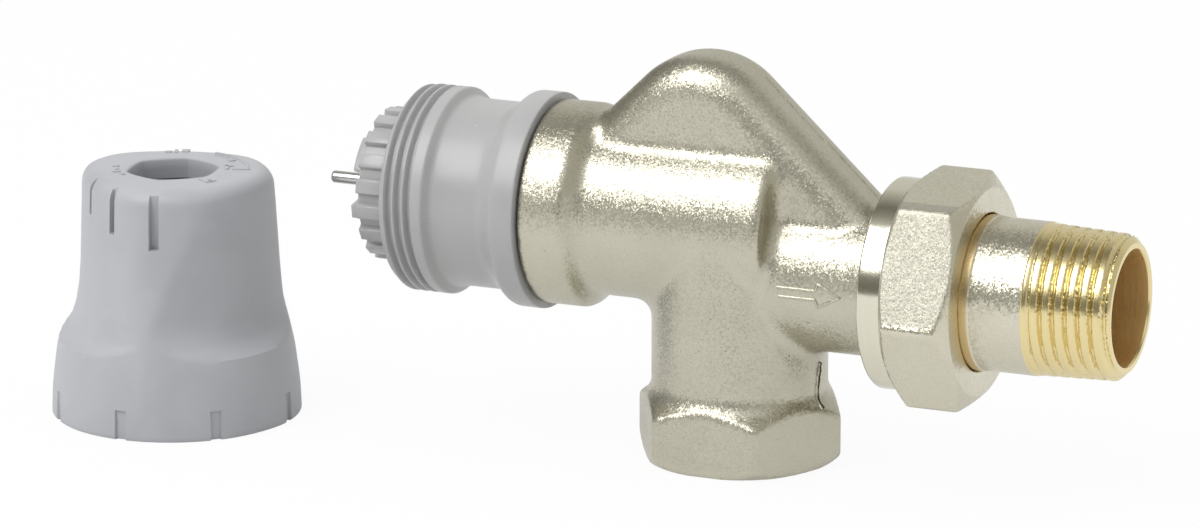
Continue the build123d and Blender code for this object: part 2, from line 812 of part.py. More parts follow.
def cap_scoop(direction):
    """Cutter for one finger scoop: everything outside an off-centre flared cone."""
    outside = cap_foot_radius * 2.5
    reach = cap_foot_radius + cap_scoop_offset
    bell = upright_turned(
        (reach - cap_scoop_floor_inset, cap_scoop_floor_z),
        (outside, cap_scoop_floor_z),
        (outside, cap_height + 1),
        (reach - cap_scoop_top_inset, cap_height + 1),
        (reach - cap_scoop_flare_inset, cap_scoop_flare_z, 6.0),
        (reach - cap_scoop_bend_inset, cap_scoop_bend_z, 4.0),
    )
    return Rot(0, 0, direction) * Pos(-cap_scoop_offset, 0, 0) * bell


def protective_cap():
    """Grey cap with finger scoops, slots of growing length, rim notches and a hexagon hole."""
    shell = upright_turned(
        (0, 0),
        (cap_foot_radius, 0, 0.3),
        (cap_foot_radius - cap_foot_draft, cap_foot_band),
        (cap_foot_radius - cap_knee_inset, cap_knee_z, 6.0),
        (cap_foot_radius - cap_shoulder_inset, cap_shoulder_z, 12.0),
        (cap_foot_radius - cap_rim_inset, cap_height, cap_rim_rounding),
        (0, cap_height),
    )
    for index in range(cap_scoop_count):
        shell -= cap_scoop(cap_scoop_first + index * 360 / cap_scoop_count)
    room = upright_turned(
        (0, 0),
        (cap_thread_radius + 1.0, 0),
        (cap_thread_radius, 1.0),
        (cap_thread_radius, cap_thread_depth),
        (cap_ring_room_radius, cap_thread_depth + 0.8),
        (cap_ring_room_radius, cap_ring_room_top),
        (cap_room_radius, cap_ring_room_top + 1.0),
        (cap_room_radius, cap_height - cap_top_thickness, 1.5),
        (0, cap_height - cap_top_thickness),
    )
    hexagon = fillet(RegularPolygon(cap_hole_corner_radius, 6).vertices(), cap_hole_rounding)
    hole = Rot(0, 0, cap_hole_turn) * extrude(hexagon, cap_height)
    shell = shell - room - hole
    for angle, length in zip(cap_slot_angles, cap_slot_lengths):
        slot = Box(2, cap_slot_width, length, align=(Align.MIN, Align.CENTER, Align.MAX))
        shell -= Rot(0, 0, angle) * Pos(slot_floor(angle), 0, cap_height - cap_slot_drop) * slot
    notch = Box(2, cap_notch_width, cap_notch_height, align=(Align.MIN, Align.CENTER, Align.MIN))
    for index in range(cap_notch_count):
        angle = cap_notch_first + index * 360 / cap_notch_count
        shell -= Rot(0, 0, angle) * Pos(cap_foot_radius - cap_notch_depth, 0, 0) * notch
    return Pos(cap_x, cap_y, 0) * shell


def slot_floor(angle):
    """Distance of a slot's floor from the cap's axis, under the scoop or ridge at that angle."""
    spread = 360 / cap_scoop_count
    from_scoop = (angle - cap_scoop_first + spread / 2) % spread - spread / 2
    turn = math.radians(from_scoop)
    scoop_radius = cap_foot_radius + cap_scoop_offset - (cap_scoop_flare_inset + cap_scoop_top_inset) / 2
    side = cap_scoop_offset * math.sin(turn)
    scooped = math.sqrt(scoop_radius**2 - side**2) - cap_scoop_offset * math.cos(turn)
    return min(scooped, cap_foot_radius - cap_rim_inset + 0.2) - cap_slot_depth


nodes = {
    "valve_body": valve_body,
    "head_sleeve": head_sleeve,
    "insert_housing": insert_housing,
    "housing_oring": housing_oring,
    "preset_tube": preset_tube,
    "tube_oring": tube_oring,
    "throttle_sleeve": throttle_sleeve,
    "preset_ring": preset_ring,
    "gland_nut": gland_nut,
    "gland_oring": gland_oring,
    "gland_washer": gland_washer,
    "spring_guide": spring_guide,
    "return_spring": return_spring,
    "stem_pin": stem_pin,
    "spindle": spindle,
    "spindle_clip": spindle_clip,
    "plug_carrier": plug_carrier,
    "plug_disc": plug_disc,
    "plug_nut": plug_nut,
    "union_nut": union_nut,
    "tailpiece": tailpiece,
    "protective_cap": protective_cap,
}

os.makedirs("parts", exist_ok=True)
for name, build in nodes.items():
    export_step(build(), f"parts/{name}.step")
    print(name, "written")
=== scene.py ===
import bmesh
import bpy
import math
import numpy as np
from mathutils import Matrix, Vector


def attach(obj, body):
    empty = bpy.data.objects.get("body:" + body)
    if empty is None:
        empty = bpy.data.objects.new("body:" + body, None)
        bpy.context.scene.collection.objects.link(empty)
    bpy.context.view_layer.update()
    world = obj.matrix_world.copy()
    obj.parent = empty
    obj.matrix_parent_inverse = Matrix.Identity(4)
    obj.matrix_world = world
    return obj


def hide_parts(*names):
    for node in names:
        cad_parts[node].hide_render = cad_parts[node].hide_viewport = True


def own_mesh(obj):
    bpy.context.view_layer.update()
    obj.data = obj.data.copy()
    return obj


# Axial radiator valve and its loose cap. Sizes in the dictionaries are millimetres, meshes are metres.

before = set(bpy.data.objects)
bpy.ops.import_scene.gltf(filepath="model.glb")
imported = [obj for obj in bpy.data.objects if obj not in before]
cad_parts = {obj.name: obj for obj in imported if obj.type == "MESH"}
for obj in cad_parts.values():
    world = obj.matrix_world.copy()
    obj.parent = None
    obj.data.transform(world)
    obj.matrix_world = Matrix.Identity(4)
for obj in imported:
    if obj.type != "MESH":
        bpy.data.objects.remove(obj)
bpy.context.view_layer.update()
mm = 0.001
headAxis = 34.5      # height of the head barrel's axis
outletAxis = 27.9    # height of the outlet's axis


# Small helpers

def hexColour(text):
    values = [int(text[i:i + 2], 16) / 255 for i in (1, 3, 5)]
    linear = [v / 12.92 if v <= 0.04045 else ((v + 0.055) / 1.055) ** 2.4 for v in values]
    return (*linear, 1.0)


def addNode(tree, kind, settings=None, inputs=None):
    node = tree.nodes.new(kind)
    for name, value in (settings or {}).items():
        setattr(node, name, value)
    for key, value in (inputs or {}).items():
        socket = node.inputs[key]
        if isinstance(value, bpy.types.NodeSocket):
            tree.links.new(value, socket)
        else:
            socket.default_value = value
    return node


def newObject(name, data):
    piece = bpy.data.objects.new(name, data)
    bpy.context.scene.collection.objects.link(piece)
    return piece


def freezeModifiers(piece):
    depsgraph = bpy.context.evaluated_depsgraph_get()
    mesh = bpy.data.meshes.new_from_object(piece.evaluated_get(depsgraph))
    piece.modifiers.clear()
    piece.data = mesh


def closeMesh(mesh, sharpAngle=38):
    shape = bmesh.new()
    shape.from_mesh(mesh)
    bmesh.ops.remove_doubles(shape, verts=shape.verts, dist=1e-6)
    bmesh.ops.dissolve_degenerate(shape, edges=shape.edges, dist=1e-7)
    bmesh.ops.recalc_face_normals(shape, faces=shape.faces)
    shape.to_mesh(mesh)
    shape.free()
    mesh.shade_smooth()
    mesh.set_sharp_from_angle(angle=math.radians(sharpAngle))


def joinMeshes(name, pieces, materials):
    shape = bmesh.new()
    for piece in pieces:
        shape.from_mesh(piece.data)
    mesh = bpy.data.meshes.new(name)
    shape.to_mesh(mesh)
    shape.free()
    for piece in pieces:
        bpy.data.objects.remove(piece)
    for material in materials:
        mesh.materials.append(material)
    return newObject(name, mesh)


def roundedOutline(corners, step=1.5, dense=None):
    # closed outline of (x, radius) or (x, radius, rounding); dense = (x0, x1, over this radius, spacing)
    points = []
    for i, corner in enumerate(corners):
        here = Vector(corner[:2])
        toBefore = Vector(corners[i - 1][:2]) - here
        toAfter = Vector(corners[(i + 1) % len(corners)][:2]) - here
        rounding = corner[2] if len(corner) > 2 else 0.06
        angle = toBefore.angle(toAfter)
        if rounding <= 0 or angle > math.pi - 0.02:
            points.append(here)
            continue
        a, b = toBefore.normalized(), toAfter.normalized()
        reach = min(rounding / math.tan(angle / 2), 0.49 * toBefore.length, 0.49 * toAfter.length)
        radius = reach * math.tan(angle / 2)
        centre = here + (a + b).normalized() * radius / math.sin(angle / 2)
        start, end = here + a * reach - centre, here + b * reach - centre
        first = math.atan2(start.y, start.x)
        sweep = (math.atan2(end.y, end.x) - first + math.pi) % (2 * math.pi) - math.pi
        pieces = max(2, int(math.degrees(abs(sweep)) / 15) + 1)
        for k in range(pieces + 1):
            turn = first + sweep * k / pieces
            points.append(centre + Vector((math.cos(turn), math.sin(turn))) * radius)
    filled = []
    for i, here in enumerate(points):
        after = points[(i + 1) % len(points)]
        spacing = step
        if dense and min(here.x, after.x) < dense[1] and max(here.x, after.x) > dense[0]:
            if min(here.y, after.y) > dense[2]:
                spacing = dense[3]
        parts = max(1, math.ceil((after - here).length / spacing))
        filled += [here.lerp(after, k / parts) for k in range(parts)]
    return filled + [filled[0]]


# Geometry trees start with their named inputs and end in a real mesh with its material

def startTree(name, numbers, counts=()):
    tree = bpy.data.node_groups.new(name, "GeometryNodeTree")
    tree.is_modifier = True
    sockets = [("Geometry", "Geometry"), ("Material", "Material")]
    sockets += [(label, "Float") for label in numbers] + [(label, "Int") for label in counts]
    for label, kind in sockets:
        tree.interface.new_socket(name=label, in_out="INPUT", socket_type=f"NodeSocket{kind}")
    tree.interface.new_socket(name="Geometry", in_out="OUTPUT", socket_type="NodeSocketGeometry")
    return tree, addNode(tree, "NodeGroupInput").outputs


def endTree(tree, shape, material):
    real = addNode(tree, "GeometryNodeRealizeInstances", None, {"Geometry": shape}).outputs[0]
    dressed = addNode(tree, "GeometryNodeSetMaterial", None, {"Geometry": real, "Material": material})
    addNode(tree, "NodeGroupOutput", None, {0: dressed.outputs[0]})
    return tree


def addGeometryNodes(piece, tree, values):
    modifier = piece.modifiers.new(tree.name, "NODES")
    modifier.node_group = tree
    sockets = {item.name: item for item in tree.interface.items_tree if item.in_out == "INPUT"}
    for name, value in values.items():
        modifier[sockets[name].identifier] = value


# Turned pieces: one tree that lathes an outline, cuts a thread into it and mills it to a hexagon

latheDefaults = {"Axis Height": headAxis, "Pitch": 1.0, "Thread Depth": 0.0, "Thread Start": -900.0,
                 "Thread End": -800.0, "Start Fade": 1.0, "End Fade": 1.0, "Outer Radius Over": 500.0,
                 "Crest Share": 0.1, "Root Share": 0.1, "Groove Power": 1.0, "Across Flats": 900.0,
                 "Flats Turn": 0.0, "Edge Softness": 0.0, "Tear Height": 0.0, "Tear Size": 1.0,
                 "Uneven Height": 0.0, "Uneven Size": 1.0}
notLengths = {"Crest Share", "Root Share", "Groove Power", "Flats Turn", "Tear Size", "Uneven Size"}

# what a step of the tree may do besides plain arithmetic: node, its settings, the inputs that are given
latheForms = {
    "SMOOTHSTEP": ("ShaderNodeMapRange", {"interpolation_type": "SMOOTHSTEP"},
                   ("Value", "From Min", "From Max", "To Min", "To Max")),
    "JOIN": ("ShaderNodeCombineXYZ", None, (0, 1, 2)),
    "SCALE": ("ShaderNodeVectorMath", {"operation": "SCALE"}, (0, "Scale")),
    "NOISE": ("ShaderNodeTexNoise", None, ("Vector", "Scale", "Detail")),
}
latheSteps = (
    # the thread: a wave along the axis that moves on by one pitch each turn
    ("fromStart", "SUBTRACT", "along", "Thread Start"),
    ("pitches", "DIVIDE", "fromStart", "Pitch"),
    ("wound", "SUBTRACT", "pitches", "turn"),
    ("phase", "FRACT", "wound"),
    ("centred", "MULTIPLY_ADD", "phase", 2.0, -1.0),
    ("offCrest", "ABSOLUTE", "centred"),
    ("rootFrom", "SUBTRACT", 1.0, "Root Share"),
    ("flank", "SMOOTHSTEP", "offCrest", "Crest Share", "rootFrom"),
    ("groove", "POWER", "flank", "Groove Power"),
    ("fadeInEnd", "ADD", "Thread Start", "Start Fade"),
    ("fadeOutFrom", "SUBTRACT", "Thread End", "End Fade"),
    ("fadeIn", "SMOOTHSTEP", "along", "Thread Start", "fadeInEnd"),
    ("fadeOut", "SMOOTHSTEP", "along", "fadeOutFrom", "Thread End", 1.0, 0.0),
    ("outer", "GREATER_THAN", "radius", "Outer Radius Over"),
    ("fade", "MULTIPLY", "fadeIn", "fadeOut"),
    ("window", "MULTIPLY", "fade", "outer"),
    ("cutShare", "MULTIPLY", "groove", "window"),
    ("cut", "MULTIPLY", "cutShare", "Thread Depth"),
    ("threaded", "SUBTRACT", "radius", "cut"),
    # the hexagon: distance to the flats at this angle, met softly
    ("flatsTurn", "ADD", "turn", "Flats Turn"),
    ("sixths", "MULTIPLY", "flatsTurn", 6.0),
    ("inSixth", "FRACT", "sixths"),
    ("offFlat", "MULTIPLY_ADD", "inSixth", math.pi / 3, -math.pi / 6),
    ("slant", "COSINE", "offFlat"),
    ("half", "MULTIPLY", "Across Flats", 0.5),
    ("toFlat", "DIVIDE", "half", "slant"),
    ("milled", "SMOOTH_MIN", "threaded", "toFlat", "Edge Softness"),
    # the edges of the crests are torn
    ("angle", "MULTIPLY", "turn", 2 * math.pi),
    ("sine", "SINE", "angle"),
    ("cosine", "COSINE", "angle"),
    ("sideways", "MULTIPLY", "sine", "milled"),
    ("upwards", "MULTIPLY", "cosine", "milled"),
    ("plain", "JOIN", "along", "sideways", "upwards"),
    ("tearSpots", "SCALE", "plain", "Tear Size"),
    ("tearNoise", "NOISE", "tearSpots", 1.0, 1.0),
    ("tearSwing", "SUBTRACT", "tearNoise", 0.5),
    ("edgeRise", "SMOOTHSTEP", "groove", 0.0, 0.35),
    ("edgeFall", "SMOOTHSTEP", "groove", 0.35, 0.75, 1.0, 0.0),
    ("edge", "MULTIPLY", "edgeRise", "edgeFall"),
    ("edgeWindow", "MULTIPLY", "edge", "window"),
    ("tearShare", "MULTIPLY", "tearSwing", "edgeWindow"),
    ("tear", "MULTIPLY", "tearShare", "Tear Height"),
    # the skin is a little uneven
    ("skinSpots", "SCALE", "plain", "Uneven Size"),
    ("skinNoise", "NOISE", "skinSpots", 1.0, 2.0),
    ("skinSwing", "SUBTRACT", "skinNoise", 0.5),
    ("skinHeight", "MULTIPLY", "skinSwing", "Uneven Height"),
    ("skin", "MULTIPLY", "skinHeight", "outer"),
    ("torn", "ADD", "milled", "tear"),
    ("reach", "ADD", "torn", "skin"),
    # and the radius is wound round the axis
    ("back", "MULTIPLY", "sine", "reach"),
    ("front", "MULTIPLY", "back", -1.0),
    ("height", "MULTIPLY_ADD", "cosine", "reach", "Axis Height"),
    ("position", "JOIN", "along", "front", "height"),
)


def buildLatheTree():
    tree, given = startTree("latheWithThreadAndFlats", latheDefaults, ("Segments",))
    shape = given["Geometry"]
    size = addNode(tree, "GeometryNodeAttributeDomainSize", {"component": "MESH"}, {"Geometry": shape})
    rows = size.outputs["Point Count"]
    around = addNode(tree, "ShaderNodeMath", {"operation": "ADD"}, {0: given["Segments"], 1: 1.0})
    grid = addNode(tree, "GeometryNodeMeshGrid", None,
                   {"Size X": 1.0, "Size Y": 1.0, "Vertices X": rows, "Vertices Y": around.outputs[0]})
    place = addNode(tree, "GeometryNodeInputPosition").outputs[0]
    # the grid's X counts the points of the outline, its Y is the turn
    centred = addNode(tree, "ShaderNodeVectorMath", {"operation": "ADD"}, {0: place, 1: (0.5, 0.5, 0.0)})
    shareX, turn, _ = addNode(tree, "ShaderNodeSeparateXYZ", None, {0: centred.outputs[0]}).outputs
    last = addNode(tree, "ShaderNodeMath", {"operation": "SUBTRACT"}, {0: rows, 1: 1.0}).outputs[0]
    row = addNode(tree, "ShaderNodeMath", {"operation": "MULTIPLY_ADD"}, {0: shareX, 1: last, 2: 0.5})
    index = addNode(tree, "ShaderNodeMath", {"operation": "FLOOR"}, {0: row.outputs[0]}).outputs[0]
    sample = addNode(tree, "GeometryNodeSampleIndex",
                     {"data_type": "FLOAT_VECTOR", "domain": "POINT", "clamp": True},
                     {"Geometry": shape, "Value": place, "Index": index}).outputs[0]
    along, _, radius = addNode(tree, "ShaderNodeSeparateXYZ", None, {0: sample}).outputs

    known = {**dict(given.items()), "turn": turn, "along": along, "radius": radius}
    for name, operation, *values in latheSteps:
        kind, settings, keys = latheForms.get(operation,
                                              ("ShaderNodeMath", {"operation": operation}, (0, 1, 2)))
        inputs = {key: known.get(value, value) for key, value in zip(keys, values)}
        known[name] = addNode(tree, kind, settings, inputs).outputs[0]
    moved = addNode(tree, "GeometryNodeSetPosition", None,
                    {"Geometry": grid.outputs["Mesh"], "Position": known["position"]}).outputs[0]
    merged = addNode(tree, "GeometryNodeMergeByDistance", None, {"Geometry": moved, "Distance": 0.002 * mm})
    return endTree(tree, merged.outputs[0], given["Material"])


latheTree = buildLatheTree()


def turnPiece(name, outline, material, segments, sharpAngle=38, **sizes):
    mesh = bpy.data.meshes.new(name)
    mesh.from_pydata([(p.x * mm, 0, p.y * mm) for p in outline], [], [])
    piece = newObject(name, mesh)
    values = dict(latheDefaults)
    values.update({key.replace("_", " "): value for key, value in sizes.items()})
    scaled = {key: value if key in notLengths else value * mm for key, value in values.items()}
    for key in ("Tear Size", "Uneven Size"):
        scaled[key] = 1 / (mm * values[key])
    addGeometryNodes(piece, latheTree, {**scaled, "Segments": segments, "Material": material})
    freezeModifiers(piece)
    piece.data.materials.clear()
    piece.data.materials.append(material)
    piece.data.polygons.foreach_set("material_index", [0] * len(piece.data.polygons))
    closeMesh(piece.data, sharpAngle)
    return piece


# Materials

def startMaterial(name):
    material = bpy.data.materials.new(name)
    material.use_nodes = True
    tree = material.node_tree
    tree.nodes.clear()
    where = addNode(tree, "ShaderNodeTexCoord").outputs["Object"]
    return material, tree, where


def finishMaterial(tree, shader):
    addNode(tree, "ShaderNodeOutputMaterial", None, {"Surface": shader.outputs[0]})


# Brass forging, shot blasted and nickel plated: a bright satin skin that sparkles where the light changes
def nickelForging(name, paleHex, darkHex, grain, grainDepth, roughLow, roughHigh, pitShare, grainSize,
                  leanAmount, speckle=0.06):
    material, tree, where = startMaterial(name)
    fine = addNode(tree, "ShaderNodeTexNoise", None,
                   {"Vector": where, "Scale": 1 / (grain * mm), "Detail": 3.0, "Roughness": 0.6})
    broad = addNode(tree, "ShaderNodeTexNoise", None,
                    {"Vector": where, "Scale": 1 / (2.6 * mm), "Detail": 3.0, "Roughness": 0.55})
    tone = addNode(tree, "ShaderNodeTexNoise", None,
                   {"Vector": where, "Scale": 1 / (9 * mm), "Detail": 2.0})
    colour = addNode(tree, "ShaderNodeMix", {"data_type": "RGBA"},
                     {0: tone.outputs[0], 6: hexColour(darkHex), 7: hexColour(paleHex)}).outputs[2]
    spots = addNode(tree, "ShaderNodeTexVoronoi", None,
                    {"Vector": where, "Scale": 1 / (1.9 * mm)})
    isPit = addNode(tree, "ShaderNodeMapRange", None,
                    {"Value": spots.outputs["Distance"], "From Min": 0.03, "From Max": 0.09,
                     "To Min": pitShare, "To Max": 0.0}).outputs[0]
    colour = addNode(tree, "ShaderNodeMix", {"data_type": "RGBA"},
                     {0: isPit, 6: colour, 7: hexColour("#6E675A")}).outputs[2]
    rough = addNode(tree, "ShaderNodeMapRange", None,
                    {"Value": broad.outputs[0], "From Min": 0.3, "From Max": 0.7,
                     "To Min": roughLow, "To Max": roughHigh}).outputs[0]
    coarse = addNode(tree, "ShaderNodeBump", None,
                     {"Height": broad.outputs[0], "Strength": 0.35, "Distance": 0.05 * mm})
    bump = addNode(tree, "ShaderNodeBump", None,
                   {"Height": fine.outputs[0], "Strength": 1.0, "Distance": grainDepth * mm,
                    "Normal": coarse.outputs[0]})
    # each blasted grain leans its own way, which makes the sparkle
    grains = addNode(tree, "ShaderNodeTexVoronoi", None,
                     {"Vector": where, "Scale": 1 / (grainSize * mm)})
    facing = grains.outputs["Color"]
    for operation, inputs in (("SUBTRACT", {1: (0.5, 0.5, 0.5)}), ("SCALE", {"Scale": leanAmount}),
                              ("ADD", {1: bump.outputs[0]}), ("NORMALIZE", {})):
        facing = addNode(tree, "ShaderNodeVectorMath", {"operation": operation},
                         {0: facing, **inputs}).outputs[0]
    # and some grains stay duller than their neighbours
    dull = addNode(tree, "ShaderNodeMapRange", None,
                   {"Value": grains.outputs["Color"], "From Min": 0.2, "From Max": 0.8,
                    "To Min": 1 - speckle, "To Max": 1.0}).outputs[0]
    colour = addNode(tree, "ShaderNodeVectorMath", {"operation": "SCALE"},
                     {0: colour, "Scale": dull}).outputs[0]
    shader = addNode(tree, "ShaderNodeBsdfPrincipled", None,
                     {"Base Color": colour, "Metallic": 1.0, "Roughness": rough, "Normal": facing})
    finishMaterial(tree, shader)
    return material


# Turned metal: fine tool rings across the axis, drawn at 0.12 mm so that they show
def turnedMetal(name, paleHex, darkHex, rough, ringSize=0.12, ringDepth=0.002, grainDepth=0.0, streak=0.5):
    material, tree, where = startMaterial(name)
    spread = addNode(tree, "ShaderNodeMapping", None,
                     {"Vector": where, "Scale": (1 / (ringSize * mm), 30.0, 30.0)}).outputs[0]
    rings = addNode(tree, "ShaderNodeTexNoise", None,
                    {"Vector": spread, "Scale": 1.0, "Detail": 3.0, "Roughness": 0.6})
    grains = addNode(tree, "ShaderNodeTexNoise", None,
                     {"Vector": where, "Scale": 1 / (0.3 * mm), "Detail": 2.0})
    mixed = addNode(tree, "ShaderNodeMath", {"operation": "MULTIPLY"},
                    {0: rings.outputs[0], 1: streak}).outputs[0]
    colour = addNode(tree, "ShaderNodeMix", {"data_type": "RGBA"},
                     {0: mixed, 6: hexColour(paleHex), 7: hexColour(darkHex)}).outputs[2]
    roughness = addNode(tree, "ShaderNodeMapRange", None,
                        {"Value": rings.outputs[0], "From Min": 0.3, "From Max": 0.7,
                         "To Min": rough * 0.8, "To Max": rough * 1.25}).outputs[0]
    first = addNode(tree, "ShaderNodeBump", None,
                    {"Height": grains.outputs[0], "Strength": 1.0, "Distance": grainDepth * mm})
    bump = addNode(tree, "ShaderNodeBump", None,
                   {"Height": rings.outputs[0], "Strength": 1.0, "Distance": ringDepth * mm,
                    "Normal": first.outputs[0]})
    shader = addNode(tree, "ShaderNodeBsdfPrincipled", None,
                     {"Base Color": colour, "Metallic": 1.0, "Roughness": roughness,
                      "Normal": bump.outputs[0]})
    finishMaterial(tree, shader)
    return material


# Injection moulded polyamide: even satin colour, faint flow marks and a little dust
def mouldedPlastic(name, baseHex, palerHex, rough, grain, grainDepth, dust=0.0):
    material, tree, where = startMaterial(name)
    flow = addNode(tree, "ShaderNodeTexNoise", None,
                   {"Vector": where, "Scale": 1 / (11 * mm), "Detail": 3.0, "Distortion": 0.6})
    skin = addNode(tree, "ShaderNodeTexNoise", None,
                   {"Vector": where, "Scale": 1 / (grain * mm), "Detail": 2.0})
    amount = addNode(tree, "ShaderNodeMapRange", None,
                     {"Value": flow.outputs[0], "From Min": 0.35, "From Max": 0.65}).outputs[0]
    colour = addNode(tree, "ShaderNodeMix", {"data_type": "RGBA"},
                     {0: amount, 6: hexColour(baseHex), 7: hexColour(palerHex)}).outputs[2]
    spots = addNode(tree, "ShaderNodeTexVoronoi", None,
                    {"Vector": where, "Scale": 1 / (2.4 * mm)})
    speck = addNode(tree, "ShaderNodeMapRange", None,
                    {"Value": spots.outputs["Distance"], "From Min": 0.03, "From Max": 0.06,
                     "To Min": dust, "To Max": 0.0}).outputs[0]
    colour = addNode(tree, "ShaderNodeMix", {"data_type": "RGBA"},
                     {0: speck, 6: colour, 7: hexColour("#DCDCDC")}).outputs[2]
    roughness = addNode(tree, "ShaderNodeMapRange", None,
                        {"Value": flow.outputs[0], "From Min": 0.3, "From Max": 0.7,
                         "To Min": rough - 0.04, "To Max": rough + 0.05}).outputs[0]
    bump = addNode(tree, "ShaderNodeBump", None,
                   {"Height": skin.outputs[0], "Strength": 1.0, "Distance": grainDepth * mm})
    shader = addNode(tree, "ShaderNodeBsdfPrincipled", None,
                     {"Base Color": colour, "Roughness": roughness, "IOR": 1.53, "Normal": bump.outputs[0]})
    finishMaterial(tree, shader)
    return material


# Nitrile rubber, moulded: nearly black, soft sheen
def mouldedRubber(name):
    material, tree, where = startMaterial(name)
    skin = addNode(tree, "ShaderNodeTexNoise", None,
                   {"Vector": where, "Scale": 1 / (0.5 * mm), "Detail": 2.0})
    colour = addNode(tree, "ShaderNodeMix", {"data_type": "RGBA"},
                     {0: skin.outputs[0], 6: hexColour("#141414"), 7: hexColour("#232322")}).outputs[2]
    bump = addNode(tree, "ShaderNodeBump", None,
                   {"Height": skin.outputs[0], "Strength": 1.0, "Distance": 0.01 * mm})
    shader = addNode(tree, "ShaderNodeBsdfPrincipled", None,
                     {"Base Color": colour, "Roughness": 0.55, "IOR": 1.52, "Normal": bump.outputs[0]})
    finishMaterial(tree, shader)
    return material


platedForging = nickelForging("nickelPlatedBlastedForging", "#D0CDBD", "#C5C1AF", grain=0.5, grainDepth=0.04,
                              roughLow=0.32, roughHigh=0.38, pitShare=0.4, grainSize=0.2, leanAmount=0.24)
platedFlats = nickelForging("nickelPlatedHammeredFlats", "#D6D3C5", "#CBC8B9", grain=0.5, grainDepth=0.07,
                            roughLow=0.48, roughHigh=0.54, pitShare=0.2, grainSize=0.16, leanAmount=0.24,
                            speckle=0.12)
platedPipe = nickelForging("nickelPlatedDrawnTube", "#E0DCCA", "#D6D1BD", grain=0.5, grainDepth=0.03,
                           roughLow=0.26, roughHigh=0.32, pitShare=0.2, grainSize=0.24, leanAmount=0.2)
# dark colour for the scar's bead: painted shade of the crack down the pipe
crackShadeMetal = nickelForging("forgingCrackPaintedShade", "#5E584C", "#35312A", grain=0.5, grainDepth=0.05,
                          roughLow=0.4, roughHigh=0.55, pitShare=0.0, grainSize=0.3, leanAmount=0.4)
platedTurned = turnedMetal("nickelPlatedTurnedCollar", "#E2DFCE", "#D2CDBA", rough=0.13, ringSize=0.14,
                           ringDepth=0.0012, grainDepth=0.004)
brassThread = turnedMetal("brassCutThread", "#EFDFAC", "#DECC94", rough=0.2, ringSize=0.1, grainDepth=0.006)
brassBand = turnedMetal("brassTurnedBand", "#E2CB9C", "#CDB280", rough=0.3, ringDepth=0.003, grainDepth=0.004)
brassBore = turnedMetal("brassReamedBore", "#FBE2A8", "#DDB878", rough=0.55, ringSize=0.16, ringDepth=0.006,
                        grainDepth=0.004, streak=0.9)
brassInner = turnedMetal("brassTurnedInsert", "#DDBC74", "#C29A55", rough=0.22, ringSize=0.14,
                         ringDepth=0.003, grainDepth=0.004)
drawnSteel = turnedMetal("stainlessDrawnPin", "#D6D6D4", "#B8B8B6", rough=0.26, ringSize=0.3,
                         ringDepth=0.001, grainDepth=0.002)
sleevePlastic = mouldedPlastic("polyamideMouldedSleeve", "#A9A9A9", "#AEAEAE", rough=0.33, grain=0.5,
                               grainDepth=0.004, dust=0.8)
crownPlastic = mouldedPlastic("polyamideMouldedCrown", "#A8A8A8", "#B0B0B0", rough=0.22, grain=0.5,
                              grainDepth=0.006)
capPlastic = mouldedPlastic("polyamideGrainedCap", "#AAACB0", "#B0B2B6", rough=0.45, grain=0.4,
                            grainDepth=0.01, dust=0.25)
insertPlastic = mouldedPlastic("acetalMouldedInsert", "#DEDCD2", "#E4E2DA", rough=0.35, grain=0.5,
                               grainDepth=0.003)
sealRubber = mouldedRubber("nitrileMouldedSeal")
print("materials ready")


# Forging: a close mesh of the CAD solid, its corners flowed together as a hot forging's are

forging = {"voxel": 0.44, "passes": 6, "flow": 0.5}    # flow: how far each pass smooths, 0 to 1


def makeForging(s):
    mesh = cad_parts["valve_body"].data.copy()
    piece = newObject("forgedBody", mesh)
    closeMesh(mesh)
    remesh = piece.modifiers.new("voxels", "REMESH")
    remesh.mode = "VOXEL"
    remesh.voxel_size = s["voxel"] * mm
    soften = piece.modifiers.new("flow", "SMOOTH")
    soften.factor = s["flow"]
    soften.iterations = s["passes"]
    freezeModifiers(piece)
    piece.data.shade_smooth()
    piece.data.materials.clear()
    piece.data.materials.append(platedForging)
    return piece


body = makeForging(forging)
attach(body, "body")
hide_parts("valve_body")
print("forging done", len(body.data.polygons))


# Raised lines on the forging: flow arrow, flash of the die's parting and the scar it left on the pipe

arrow = {"tailX": 9.9, "neckX": 15.6, "headX": 16.0, "tipX": 19.3, "middleZ": 27.77, "shaft": 0.65,
         "head": 1.66, "tailSlant": 0.3, "neckRadius": 10.8, "bead": 0.24, "sunk": 0.05, "spacing": 0.35,
         "wave": 0.06, "waveSize": 0.7}
parting = {"flankX": (3.0, 12.2, 12.7, 21.5), "flankY": (1.0, 0.8, 1.3, 1.1), "apexX": -5.15, "apexZ": 63.25,
           "slope": 42.8, "sunk": 0.02, "bead": 0.09, "spacing": 0.4, "wave": 0.12, "waveSize": 0.9}
scar = {"turnLow": -9.0, "turnHigh": -3.5, "low": 8.9, "high": 15.5, "spacing": 0.3, "bead": 0.26,
        "sunk": 0.04, "paleShift": -1.6, "paleBead": 0.8, "outside": 15.0, "wave": 0.5, "waveSize": 1.1}


